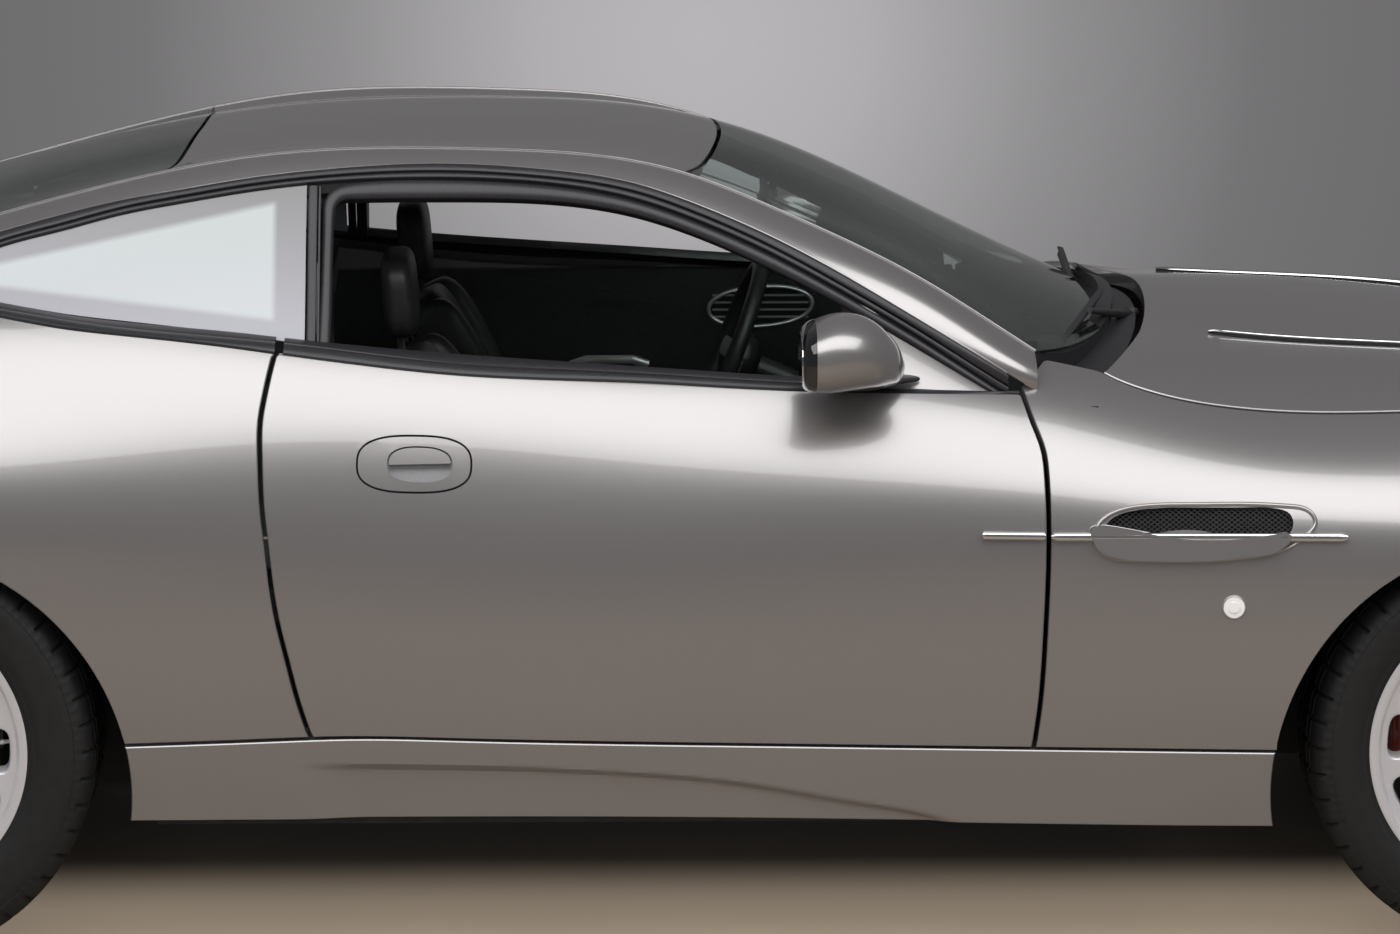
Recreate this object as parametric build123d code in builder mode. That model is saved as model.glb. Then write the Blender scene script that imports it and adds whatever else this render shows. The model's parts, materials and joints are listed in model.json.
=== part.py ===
"""A two-door grand-touring coupe: a bonded tub with outer panels, opening doors and lids, and road wheels.

Frame: +X forward, +Y to the car's left, +Z up, millimetres. X = 0 is the middle of the overall length and
Z = 0 is the ground under the tyres. The right side is built and the left side mirrors it.
"""

from build123d import *
from math import atan2, cos, degrees, radians, sin
import os

os.makedirs("parts", exist_ok=True)

# ---------------------------------------------------------------- driving dimensions
WHEELBASE = 2690.0
FRONT_AXLE_X = 1412.5
REAR_AXLE_X = FRONT_AXLE_X - WHEELBASE
FRONT_TRACK = 1550.0
REAR_TRACK = 1580.0
FRONT_TYRE_RADIUS = 343.0
REAR_TYRE_RADIUS = 355.0
FRONT_TYRE_WIDTH = 255.0
REAR_TYRE_WIDTH = 285.0
FRONT_RIM_WIDTH = 229.0
REAR_RIM_WIDTH = 254.0
FLANGE_RADIUS = 250.0
BEAD_RADIUS = 241.5
NOSE_X = 2330.0
TAIL_X = -2330.0

PANEL_GAP = 7.5  # shutline round everything that opens
FIXED_GAP = 0.4  # between fixed panels
PIN_CLEARANCE = 0.3
SKIN = 28.0  # bonnet and boot lid, whole thickness
ROOF_THICKNESS = 35.0
REAR_GLASS_DEPTH = 1.5  # the rear window sits just below the panels round it
GLASS_THICKNESS = 6.0
PILLAR_DEPTH = 45.0  # depth of pillars and cantrails behind their outer skin

SILL_TOP_Z = 358.0
FLOOR_Z = 205.0
FLOOR_THICKNESS = 30.0
TUNNEL_HALF = 170.0
TUNNEL_TOP_Z = 420.0

DOOR_INNER_Y = 792.0  # inner face of the door, where the cabin begins
DOOR_STEP_Y = 862.0  # the door's inner part stops here and its outer panel overlaps it
DOOR_STEP_INSET = 20.0
HINGE_X = 505.0
HINGE_Y = 903.0
HINGE_LEVELS = (450.0, 670.0)
HINGE_PIN_RADIUS = 8.0

ARCH_RADIUS = 419.0
ARCH_CENTRE_Z = 289.0
FRONT_ARCH_SHIFT = 8.0  # the opening's centre lies a little ahead of the front axle
REAR_ARCH_SHIFT = -6.0
WHEELHOUSE_RADIUS = 426.0
WHEELHOUSE_CENTRE_Z = 305.0
FRONT_WHEELHOUSE_INNER_Y = 440.0
REAR_WHEELHOUSE_INNER_Y = 618.0
WHEELHOUSE_WALL = 12.0
LIP_DEPTH = 24.0  # the outer panel keeps its smaller opening for this depth

FIREWALL_X = 650.0
FIREWALL_THICKNESS = 40.0
REAR_BULKHEAD_X = -1080.0
BUMPER_FRONT_X = 1960.0
BUMPER_REAR_X = -1900.0
BUMPER_TOP_Z = 620.0
REAR_HALF = 565.0  # bulkhead and boot floor

BONNET_HALF = 745.0
BONNET_CORNER_X = 731.0
BONNET_FRONT_X = 2135.0
BONNET_HINGE_X = 765.0
BONNET_HINGE_Y = 640.0
BONNET_HINGE_Z = 926.0
BOOT_HALF = 560.0
BOOT_FRONT_X = -1772.0
BOOT_LOW_Z = 640.0
BOOT_HINGE_X = -1785.0
BOOT_HINGE_Y = 470.0
BOOT_HINGE_Z = 971.0
LID_PIN_RADIUS = 5.0
LID_PIN_LENGTH = 40.0
LID_POST_HALF = 4.0
LID_NOTCH_HALF = 9.0

# the body below the glass, tail to nose: all values are half widths (Y) and heights (Z) at that X
BODY_SECTIONS = (
    # x, bottom half, bottom z, widest half, widest z, shoulder half, shoulder z, edge half, edge z, crown z
    (TAIL_X, 560, 360, 660, 600, 640, 740, 540, 838, 868),
    (-2230, 690, 290, 785, 620, 762, 780, 640, 888, 925),
    (-2050, 790, 250, 880, 640, 850, 830, 700, 930, 958),
    (-1750, 840, 232, 935, 650, 905, 845, 740, 965, 1000),
    (REAR_AXLE_X, 870, 226, 961, 650, 930, 850, 770, 1050, 1085),
    (-640, 880, 228, 930, 640, 905, 830, 812, 1000, 1035),
    (0, 882, 226, 926, 620, 900, 800, 812, 950, 985),
    (620, 880, 214, 919, 620, 890, 795, 775, 925, 1000),
    (1000, 875, 207, 932, 610, 895, 775, 757, 881, 993),
    (FRONT_AXLE_X, 862, 200, 945, 590, 908, 760, 757, 880, 955),
    (1800, 830, 190, 915, 520, 880, 700, 745, 822, 880),
    (2050, 765, 195, 850, 470, 815, 630, 690, 735, 795),
    (2240, 620, 225, 705, 440, 675, 570, 560, 650, 700),
    (NOSE_X, 430, 320, 520, 460, 495, 545, 420, 600, 625),
)

# the glasshouse above the belt, tail to nose
CABIN_SECTIONS = (
    # x, base half, base z, roof edge half, roof edge z, crown z
    (-1850, 700, 780, 640, 900, 955),
    (-1500, 770, 900, 665, 1050, 1100),
    (-1087.5, 815, 900, 640, 1178, 1226),
    (-666, 826, 900, 598, 1272, 1302),
    (-268, 826, 900, 588, 1279, 1318),
    (46, 818, 900, 608, 1240, 1294),
    (208, 812, 900, 645, 1180, 1250),
    (441, 800, 880, 695, 1078, 1145),
    (640, 770, 860, 735, 962, 1050),
    (860, 420, 820, 380, 935, 955),
)

# plan of the roof line: the top centre panels lie inside it, the pillars and cantrails outside
ROOF_LINE = (
    # x, half width
    (-1765, 560),
    (-1095, 552),
    (-816, 540),
    (-262, 525),
    (46, 548),
    (208, 588),
    (400, 640),
    (628, 708),
)
# x of each cross joint at the roof line and at the car's centre
WINDSCREEN_BASE = (628, 815)
WINDSCREEN_TOP = (46, 118)
REAR_GLASS_TOP = (-816, -795)
REAR_GLASS_BASE = (-1738, -1750)

# side outlines, x and z
DOOR_FRONT = ((609, 358), (627, 540), (629, 712), (622, 845), (592, 932))
DOOR_REAR = ((-569, 376), (-608, 520), (-636, 697), (-647, 862), (-611, 1021))
DOOR_BELT_MID = (-80, 963)
WINDOW_TOP = ((566, 952), (397, 1063), (206, 1155), (48, 1219), (-110, 1261), (-268, 1277), (-530, 1278))
WINDOW_REAR_X = -530.0
QUARTER_GLASS = (
    (-577, 1008), (-577, 1272), (-666, 1270), (-875, 1233), (-1087, 1171), (-1290, 1090), (-1000, 1062),
)


def write(part, name):
    """Labels a finished piece and writes it as its own STEP file."""
    part.label = name
    export_step(part, f"parts/{name}.step")


def both_sides(part):
    """The piece and its mirror image as one pair of solids."""
    with BuildPart() as pair:
        add(part)
        mirror(part, about=Plane.XZ)
    return pair.part


def left_of(part):
    """The left-hand piece of a right-hand one."""
    with BuildPart() as other:
        mirror(part, about=Plane.XZ)
    return other.part


# ---------------------------------------------------------------- master volumes
with BuildPart() as body:
    for x, bottom, bottom_z, wide, wide_z, shoulder, shoulder_z, edge, edge_z, crown_z in BODY_SECTIONS:
        with BuildSketch(Plane.YZ.offset(x)):
            with BuildLine():
                Line((-bottom, bottom_z), (bottom, bottom_z))
                for side in (1, -1):
                    TangentArc((side * wide, wide_z), (side * bottom, bottom_z), tangent=(0, -1))
                    flank = TangentArc((side * wide, wide_z), (side * shoulder, shoulder_z), tangent=(0, 1))
                    TangentArc((side * shoulder, shoulder_z), (side * edge, edge_z), tangent=flank % 1)
                ThreePointArc((edge, edge_z), (0, crown_z), (-edge, edge_z))
            make_face()
    loft()


def glasshouse(inset, drop):
    """The volume of the glasshouse, its walls moved in by inset and its top moved down by drop."""
    with BuildPart() as volume:
        for x, base, base_z, roof, roof_z, crown_z in CABIN_SECTIONS:
            with BuildSketch(Plane.YZ.offset(x)):
                with BuildLine():
                    Polyline(
                        (inset - roof, roof_z - drop),
                        (inset - base, base_z - drop),
                        (base - inset, base_z - drop),
                        (roof - inset, roof_z - drop),
                    )
                    right_edge, left_edge = (roof - inset, roof_z - drop), (inset - roof, roof_z - drop)
                    ThreePointArc(right_edge, (0, crown_z - drop), left_edge)
                make_face()
        loft()
    return volume.part


cabin_outside = glasshouse(0, 0)
cabin_inside = glasshouse(PILLAR_DEPTH, PILLAR_DEPTH)


def roof_half(x):
    """Half width of the roof line at x, straight between the table's rows."""
    for (x0, half0), (x1, half1) in zip(ROOF_LINE, ROOF_LINE[1:]):
        if x0 <= x <= x1:
            return half0 + (half1 - half0) * (x - x0) / (x1 - x0)
    return ROOF_LINE[-1][1]


def top_region(front, rear, shift):
    """A tall prism over the top centre panels between two cross curves, each given as (side x, centre x)."""
    (front_x, front_mid), (rear_x, rear_mid) = front, rear
    rows = [rear_x] + [x for x, _ in ROOF_LINE if rear_x + 20 < x < front_x - 20] + [front_x]
    right = [(x, -roof_half(x) - shift) for x in rows]
    left = [(x, -y) for x, y in right]
    with BuildPart() as prism:
        with BuildSketch(Plane.XY.offset(FLOOR_Z)):
            with BuildLine():
                Polyline(*right)
                ThreePointArc(right[-1], (front_mid, 0), left[-1])
                Polyline(*left)
                ThreePointArc(left[0], (rear_mid, 0), right[0])
            make_face()
        extrude(amount=1500)
    return prism.part


def top_shell(region, volume, depth, thickness):
    """The skin of a volume under a plan region, from depth below its surface and as thick as given."""
    with BuildPart() as panel:
        add(region)
        add(volume.moved(Location((0, 0, -depth))), mode=Mode.INTERSECT)
        add(volume.moved(Location((0, 0, -depth - thickness))), mode=Mode.SUBTRACT)
    return panel.part


def side_cut(points, near_y, depth):
    """A prism through the right side over a closed side outline, from near_y outwards."""
    with BuildPart() as prism:
        with BuildSketch(Plane.XZ.offset(near_y)):
            with BuildLine():
                Polyline(*points, close=True)
            make_face()
        extrude(amount=depth)
    return prism.part


def box(x, y, z):
    """A box over three (low, high) ranges."""
    centre = [(low + high) / 2 for low, high in (x, y, z)]
    with BuildPart() as block:
        with Locations(tuple(centre)):
            Box(x[1] - x[0], y[1] - y[0], z[1] - z[0])
    return block.part


def bar(centre, direction, radius, length):
    """A round bar centred on a point."""
    with BuildPart() as rod:
        with BuildSketch(Plane(origin=centre, z_dir=direction)):
            Circle(radius)
        extrude(amount=length / 2, both=True)
    return rod.part


def lid_pins(hinge_x, hinge_y, hinge_z, foot_x, foot_low_z):
    """Both hinge pins of a lid, each on a post that reaches down and along the car to its foot."""
    with BuildPart() as pins:
        for side in (-1, 1):
            y = side * hinge_y
            low, high = y - LID_POST_HALF, y + LID_POST_HALF
            post = hinge_x - 7, hinge_x + 7
            add(bar((hinge_x, y, hinge_z), (0, 1, 0), LID_PIN_RADIUS, LID_PIN_LENGTH))
            add(box(post, (low, high), (foot_low_z, hinge_z)))
            foot = (min(foot_x, post[0]), max(foot_x, post[1]))
            add(box(foot, (low, high), (foot_low_z, foot_low_z + 30)))
    return pins.part


def lid_bores(hinge_x, hinge_y, hinge_z, edge_x):
    """What the lid gives up for its pins and posts: two bores and two notches open to its hinged edge."""
    with BuildPart() as bores:
        for side in (-1, 1):
            y = side * hinge_y
            add(bar((hinge_x, y, hinge_z), (0, 1, 0), LID_PIN_RADIUS + PIN_CLEARANCE, LID_PIN_LENGTH + 2))
            clear_x = hinge_x - 12 if edge_x > hinge_x else hinge_x + 12
            notch = (min(edge_x, clear_x), max(edge_x, clear_x))
            add(box(notch, (y - LID_NOTCH_HALF, y + LID_NOTCH_HALF), (hinge_z - 60, hinge_z + 40)))
    return bores.part


# ---------------------------------------------------------------- wheel arches
ARCHES = (
    # axle x, opening shift, inner wall y, hole through the inner wall
    (FRONT_AXLE_X, FRONT_ARCH_SHIFT, FRONT_WHEELHOUSE_INNER_Y, 220.0),
    (REAR_AXLE_X, REAR_ARCH_SHIFT, REAR_WHEELHOUSE_INNER_Y, 220.0),
)
HALF_WIDTH = max(section[3] for section in BODY_SECTIONS)

with BuildPart() as arch_cut:
    for axle_x, shift, inner_y, _ in ARCHES:
        for side in (-1, 1):
            lip = HALF_WIDTH - LIP_DEPTH
            arch_at = (axle_x + shift, side * HALF_WIDTH, ARCH_CENTRE_Z)
            add(bar(arch_at, (0, 1, 0), ARCH_RADIUS, 4 * LIP_DEPTH))
            add(
                bar(
                    (axle_x + shift, side * (lip + inner_y) / 2, WHEELHOUSE_CENTRE_Z),
                    (0, 1, 0),
                    WHEELHOUSE_RADIUS,
                    lip - inner_y,
                )
            )

# bucket-shaped inner wheelhouses
with BuildPart() as wheelhouse_right:
    for axle_x, shift, inner_y, _ in ARCHES:
        x = axle_x + shift
        outer_y = BONNET_HALF - PANEL_GAP
        middle_y = (outer_y + inner_y - WHEELHOUSE_WALL) / 2
        length = outer_y - inner_y + WHEELHOUSE_WALL
        centre = (x, -middle_y, WHEELHOUSE_CENTRE_Z)
        add(bar(centre, (0, 1, 0), WHEELHOUSE_RADIUS + WHEELHOUSE_WALL, length))
    add(arch_cut.part, mode=Mode.SUBTRACT)
    for axle_x, shift, inner_y, hole in ARCHES:
        x = axle_x + shift
        hole_at = (x, -inner_y, WHEELHOUSE_CENTRE_Z)
        add(bar(hole_at, (0, 1, 0), hole, 4 * WHEELHOUSE_WALL), mode=Mode.SUBTRACT)
        radius = WHEELHOUSE_RADIUS + 2 * WHEELHOUSE_WALL
        add(
            box((x - radius, x + radius), (-HALF_WIDTH, 0), (-300, FLOOR_Z + FLOOR_THICKNESS)),
            mode=Mode.SUBTRACT,
        )
write(both_sides(wheelhouse_right.part), "wheelhouses")

# ---------------------------------------------------------------- tub
wall_front = FIREWALL_X + FIREWALL_THICKNESS
with BuildPart() as tub:
    side_y = DOOR_INNER_Y - FIXED_GAP
    floor_top = FLOOR_Z + FLOOR_THICKNESS
    front_end = FRONT_AXLE_X - WHEELHOUSE_RADIUS - 40
    rear_end = REAR_AXLE_X + WHEELHOUSE_RADIUS + 20
    bulkhead_rear = REAR_BULKHEAD_X - 30
    add(box((rear_end, front_end), (-side_y, side_y), (FLOOR_Z, floor_top)))
    add(box((bulkhead_rear, FIREWALL_X), (-TUNNEL_HALF, TUNNEL_HALF), (FLOOR_Z, TUNNEL_TOP_Z)))
    for side in (-1, 1):
        low, high = sorted((side * side_y, side * (side_y - 40)))
        add(box((rear_end, front_end), (low, high), (FLOOR_Z, SILL_TOP_Z - 20)))
        add(box((FIREWALL_X - 10, wall_front + 30), (low, high), (FLOOR_Z, 900)))
        low, high = sorted((side * 330, side * 400))
        add(box((FIREWALL_X, 2060), (low, high), (400, 500)))
        for level in HINGE_LEVELS:
            inner = side_y - 40
            pin_x = HINGE_X
            low, high = sorted((side * (HINGE_Y - 2), side * inner))
            add(box((pin_x - 9, pin_x + 9), (low, high), (level - 12, level + 12)))
            low, high = sorted((side * (inner - 15), side * (inner + 12)))
            add(box((pin_x - 9, FIREWALL_X), (low, high), (level - 12, level + 12)))
            add(bar((pin_x, side * HINGE_Y, level), (0, 0, 1), HINGE_PIN_RADIUS, 64))
    add(box((FIREWALL_X, wall_front), (-side_y, side_y), (FLOOR_Z, 870)))
    add(box((2020, 2060), (-400, 400), (400, 500)))
    add(box((bulkhead_rear, REAR_BULKHEAD_X), (-REAR_HALF, REAR_HALF), (FLOOR_Z, 885 - FIXED_GAP)))
    add(box((REAR_BULKHEAD_X, rear_end), (-REAR_HALF, REAR_HALF), (FLOOR_Z, floor_top)))
    add(box((-2180, REAR_BULKHEAD_X), (-REAR_HALF, REAR_HALF), (500, 525)))
    channel = TUNNEL_HALF - 30
    tunnel_x = (bulkhead_rear, FIREWALL_X + 40)
    add(box(tunnel_x, (-channel, channel), (0, TUNNEL_TOP_Z - 30)), mode=Mode.SUBTRACT)
    add(lid_pins(BONNET_HINGE_X, BONNET_HINGE_Y, BONNET_HINGE_Z, FIREWALL_X, 840))
write(tub.part, "tub")

# ---------------------------------------------------------------- sills
with BuildPart() as sill:
    add(box((REAR_AXLE_X, FRONT_AXLE_X), (-HALF_WIDTH, -DOOR_INNER_Y), (0, SILL_TOP_Z - PANEL_GAP)))
    add(body.part, mode=Mode.INTERSECT)
    add(arch_cut.part, mode=Mode.SUBTRACT)
write(both_sides(sill.part), "sills")


# ---------------------------------------------------------------- doors
def door_outline(inset):
    """The door's closed side outline, its front, rear and lower edges moved in by inset."""
    front = [(x - inset, max(z, SILL_TOP_Z + inset)) for x, z in DOOR_FRONT]
    rear = [(x + inset, max(z, SILL_TOP_Z + inset)) for x, z in DOOR_REAR]
    rear[0] = (rear[0][0], SILL_TOP_Z + inset)
    with BuildSketch(Plane.XZ) as outline:
        with BuildLine():
            ThreePointArc(front[0], front[1], front[2])
            ThreePointArc(front[2], front[3], front[4])
            ThreePointArc(front[4], DOOR_BELT_MID, rear[4])
            ThreePointArc(rear[4], rear[3], rear[2])
            ThreePointArc(rear[2], rear[1], rear[0])
            Line(rear[0], front[0])
        make_face()
    return outline.sketch


with BuildPart() as door_hole:
    with BuildSketch(Plane.XZ.offset(DOOR_INNER_Y - 100)):
        add(door_outline(-PANEL_GAP))
    extrude(amount=HALF_WIDTH)

with BuildPart() as door:
    with BuildSketch(Plane.XZ.offset(DOOR_INNER_Y)):
        add(door_outline(DOOR_STEP_INSET))
    extrude(amount=DOOR_STEP_Y - DOOR_INNER_Y)
    with BuildSketch(Plane.XZ.offset(DOOR_STEP_Y)):
        add(door_outline(0))
    extrude(amount=HALF_WIDTH - DOOR_STEP_Y)
    add(body.part, mode=Mode.INTERSECT)
    for level in HINGE_LEVELS:
        slot = HINGE_Y + 11
        add(
            box((HINGE_X - 20, HINGE_X + 200), (-slot, 0), (level - 18, level + 18)),
            mode=Mode.SUBTRACT,
        )
        add(
            bar((HINGE_X, -HINGE_Y, level), (0, 0, 1), HINGE_PIN_RADIUS + PIN_CLEARANCE, 68),
            mode=Mode.SUBTRACT,
        )
write(door.part, "door_right")
write(left_of(door.part), "door_left")

# door trim: the inner panel with its armrest, which swings with the door
TRIM_FRONT_X = 470.0
TRIM_DEPTH = 34.0
ARMREST_DEPTH = 40.0
ARMREST_Z = 610.0
with BuildPart() as trim:
    with BuildSketch(Plane.XZ.offset(DOOR_INNER_Y - TRIM_DEPTH)):
        add(door_outline(2 * DOOR_STEP_INSET))
    extrude(amount=TRIM_DEPTH - FIXED_GAP)
    add(box((TRIM_FRONT_X, NOSE_X), (-HALF_WIDTH, 0), (0, 2000)), mode=Mode.SUBTRACT)
    add(box((-HALF_WIDTH, NOSE_X), (-HALF_WIDTH, 0), (925, 2000)), mode=Mode.SUBTRACT)
    trim_inner = DOOR_INNER_Y - TRIM_DEPTH
    add(box((-450, 150), (-trim_inner, ARMREST_DEPTH - trim_inner), (ARMREST_Z, ARMREST_Z + 60)))
write(trim.part, "door_trim_right")
write(left_of(trim.part), "door_trim_left")

# mirror: housing, stalk and the triangular plate at the window's front corner
MIRROR_X = 305.0
MIRROR_Z = 1018.0
with BuildPart() as mirror_right:
    with BuildSketch(Plane.YZ.offset(MIRROR_X - 78)):
        with Locations((-930, MIRROR_Z)):
            Ellipse(105, 66)
    with BuildSketch(Plane.YZ.offset(MIRROR_X)):
        with Locations((-926, MIRROR_Z)):
            Ellipse(98, 60)
    with BuildSketch(Plane.YZ.offset(MIRROR_X + 70)):
        with Locations((-912, MIRROR_Z - 8)):
            Ellipse(56, 32)
    loft()
    with BuildSketch(Plane.YZ.offset(MIRROR_X)):
        arm_outline = ((-880, -20), (-795, -46), (-795, -76), (-880, -50))
        Polygon(*[(y, MIRROR_Z + z) for y, z in arm_outline], align=None)
    extrude(amount=26, both=True)
    with BuildSketch(Plane.XZ.offset(DOOR_INNER_Y + 1)):
        Polygon((255, 1022), (330, 1036), (540, 948), (540, 925), (255, 925), align=None)
    extrude(amount=22)
    add(door.part, mode=Mode.SUBTRACT)
write(mirror_right.part, "mirror_right")
write(left_of(mirror_right.part), "mirror_left")

# ---------------------------------------------------------------- front wings
BONNET_SIDE = ((BONNET_CORNER_X, 690), (800, 728), (870, BONNET_HALF), (BUMPER_FRONT_X - 160, 735))
BONNET_NOSE = ((2070, 560), (BONNET_FRONT_X, 330), (BONNET_FRONT_X + 8, 0))
BONNET_REAR = ((BONNET_CORNER_X, 690), (868, 0))
LAMP_Y = 640.0
LAMP_Z = 640.0
LAMP_HALF_WIDTH = 118.0
LAMP_HALF_HEIGHT = 76.0
LAMP_TILT = 18.0
LAMP_REAR_X = 1930.0


def bonnet_outline(grow):
    """Plan of the bonnet grown by the given gap on every side, as a closed sketch."""
    side = [(x, y + grow) for x, y in BONNET_SIDE]
    nose = [(BONNET_NOSE[0][0] + grow, BONNET_NOSE[0][1] + grow)]
    nose += [(x + grow, y) for x, y in BONNET_NOSE[1:]]
    rear_x = BONNET_REAR[0][0] - grow
    with BuildSketch(Plane.XY) as plan:
        with BuildLine():
            Polyline((rear_x, -side[0][1]), *[(x, -y) for x, y in side[1:]], (nose[0][0], -nose[0][1]))
            Polyline((rear_x, side[0][1]), *side[1:], nose[0])
            ThreePointArc((nose[0][0], -nose[0][1]), nose[2], nose[0])
            ThreePointArc((rear_x, -side[0][1]), (BONNET_REAR[1][0] - grow, 0), (rear_x, side[0][1]))
        make_face()
    return plan.sketch


def lamp_bar(side, grow):
    """The lamp's oval carried along the car, grown by a gap."""
    with BuildPart() as oval:
        with BuildSketch(Plane.YZ.offset(LAMP_REAR_X - grow)):
            with Locations(Location((side * LAMP_Y, LAMP_Z, 0), (0, 0, side * -LAMP_TILT))):
                Ellipse(LAMP_HALF_WIDTH + grow, LAMP_HALF_HEIGHT + grow)
        extrude(amount=NOSE_X - LAMP_REAR_X + grow)
    return oval.part


with BuildPart() as bonnet_hole:
    with BuildSketch(Plane.XY):
        add(bonnet_outline(PANEL_GAP))
    extrude(amount=1500)

PILLAR_END_X = 632.0  # the windscreen pillar ends here and its foot goes down to the firewall
PILLAR_END_Z = 934.0
FOOT_Y = (-735.0, -690.0)
with BuildPart() as wing:
    add(box((575, BUMPER_FRONT_X), (-HALF_WIDTH, -450), (SILL_TOP_Z, 1100)))
    add(box((500, PILLAR_END_X), (-HALF_WIDTH, 0), (PILLAR_END_Z, 1200)), mode=Mode.SUBTRACT)
    add(door_hole.part, mode=Mode.SUBTRACT)
    add(box((300, 870), (-690, 0), (0, 2000)), mode=Mode.SUBTRACT)
    add(box((300, PILLAR_END_X), (FOOT_Y[0] - FIXED_GAP, 0), (0, 2000)), mode=Mode.SUBTRACT)
    wall_x = (300, wall_front + 30 + FIXED_GAP)
    add(box(wall_x, (-DOOR_INNER_Y, 0), (0, 900 + FIXED_GAP)), mode=Mode.SUBTRACT)
    add(bonnet_hole.part, mode=Mode.SUBTRACT)
    add(arch_cut.part, mode=Mode.SUBTRACT)
    bucket_x = FRONT_AXLE_X + FRONT_ARCH_SHIFT
    bucket_radius = WHEELHOUSE_RADIUS + WHEELHOUSE_WALL + FIXED_GAP
    inner = BONNET_HALF - PANEL_GAP + FIXED_GAP
    bucket_at = (bucket_x, -inner / 2, WHEELHOUSE_CENTRE_Z)
    add(bar(bucket_at, (0, 1, 0), bucket_radius, inner), mode=Mode.SUBTRACT)
    add(body.part, mode=Mode.INTERSECT)
    add(lamp_bar(-1, FIXED_GAP), mode=Mode.SUBTRACT)
write(both_sides(wing.part), "front_wings")

# ---------------------------------------------------------------- bonnet
with BuildPart() as bonnet_region:
    with BuildSketch(Plane.XY.offset(FLOOR_Z)):
        add(bonnet_outline(0))
    extrude(amount=1500)
with BuildPart() as bonnet:
    add(top_shell(bonnet_region.part, body.part, 0, SKIN))
    add(lid_bores(BONNET_HINGE_X, BONNET_HINGE_Y, BONNET_HINGE_Z, 700), mode=Mode.SUBTRACT)
write(bonnet.part, "bonnet")

# ---------------------------------------------------------------- cowl
COWL_RECESS = 30.0
COWL_THICKNESS = 20.0
COWL_GAP = 14.0
(corner_x, corner_y), (mid_x, _) = BONNET_REAR
base_side, base_mid = WINDSCREEN_BASE


def cowl_region(front_side, front_mid, rear_side, rear_mid):
    """A tall prism across the car between two bowed curves, each by its x at the sides and at the centre."""
    with BuildPart() as prism:
        with BuildSketch(Plane.XY.offset(FLOOR_Z)):
            with BuildLine():
                Line((rear_side, -corner_y), (front_side, -corner_y))
                ThreePointArc((front_side, -corner_y), (front_mid, 0), (front_side, corner_y))
                Line((front_side, corner_y), (rear_side, corner_y))
                ThreePointArc((rear_side, corner_y), (rear_mid, 0), (rear_side, -corner_y))
            make_face()
        extrude(amount=1500)
    return prism.part


shelf_region = cowl_region(corner_x - COWL_GAP, mid_x - COWL_GAP, base_side + 0.4, base_mid + 0.4)
rail_region = cowl_region(base_side + 0.4, base_mid + 0.4, base_side - 24, base_mid - 24)
with BuildPart() as cowl:
    add(top_shell(shelf_region, body.part, COWL_RECESS, COWL_THICKNESS))
    with BuildPart(mode=Mode.PRIVATE) as rail:
        add(rail_region)
        add(box((500, 900), (-corner_y, corner_y), (872, 1100)), mode=Mode.INTERSECT)
        add(cabin_outside.moved(Location((0, 0, -GLASS_THICKNESS - FIXED_GAP))), mode=Mode.INTERSECT)
    add(rail.part)
write(cowl.part, "cowl")

# ---------------------------------------------------------------- windscreen, roof and rear window
screen_region = top_region(WINDSCREEN_BASE, WINDSCREEN_TOP, -FIXED_GAP)
windscreen = top_shell(screen_region, cabin_outside, 0, GLASS_THICKNESS)
write(windscreen, "windscreen")
rear_region = top_region(REAR_GLASS_TOP, REAR_GLASS_BASE, -FIXED_GAP)
rear_window = top_shell(rear_region, cabin_outside, REAR_GLASS_DEPTH, GLASS_THICKNESS)
write(rear_window, "rear_window")
roof_front = [x - FIXED_GAP for x in WINDSCREEN_TOP]
roof_rear = [x + FIXED_GAP for x in REAR_GLASS_TOP]
roof_panel = top_shell(top_region(roof_front, roof_rear, -FIXED_GAP), cabin_outside, 0, ROOF_THICKNESS)
write(roof_panel, "roof_panel")

# ---------------------------------------------------------------- side frames
# each is one pressing: pillar and cantrail above, quarter panel behind the door
SEAL_Y = 560.0  # the window openings are cut from here outwards
GLASS_STEP_X = (-1770, -1500)  # along here the frame stands back a little from the rear window
GLASS_STEP_Y = 563.0
top_hole = top_region(WINDSCREEN_BASE, REAR_GLASS_BASE, 0)


def window_opening():
    """The side window's opening over the door, with its rounded front and rear upper corners."""
    with BuildPart() as prism:
        with BuildSketch(Plane.XZ.offset(SEAL_Y)):
            with BuildLine():
                Polyline((600, 870), (600, 938), *WINDOW_TOP, (WINDOW_REAR_X, 940), close=True)
            make_face()
        extrude(amount=HALF_WIDTH)
    return prism.part


TAIL_LAMP_Y = 665.0
TAIL_LAMP_Z = 735.0
TAIL_LAMP_HALF = (92.0, 52.0)
TAIL_LAMP_X = -2170.0


def tail_lamp_bar(side, grow):
    """The tail lamp's oval carried back through the car's corner, grown by a gap."""
    with BuildPart() as oval:
        with BuildSketch(Plane.YZ.offset(TAIL_X)):
            with Locations((side * TAIL_LAMP_Y, TAIL_LAMP_Z)):
                Ellipse(TAIL_LAMP_HALF[0] + grow, TAIL_LAMP_HALF[1] + grow)
        extrude(amount=TAIL_LAMP_X - TAIL_X + grow)
    return oval.part


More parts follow.
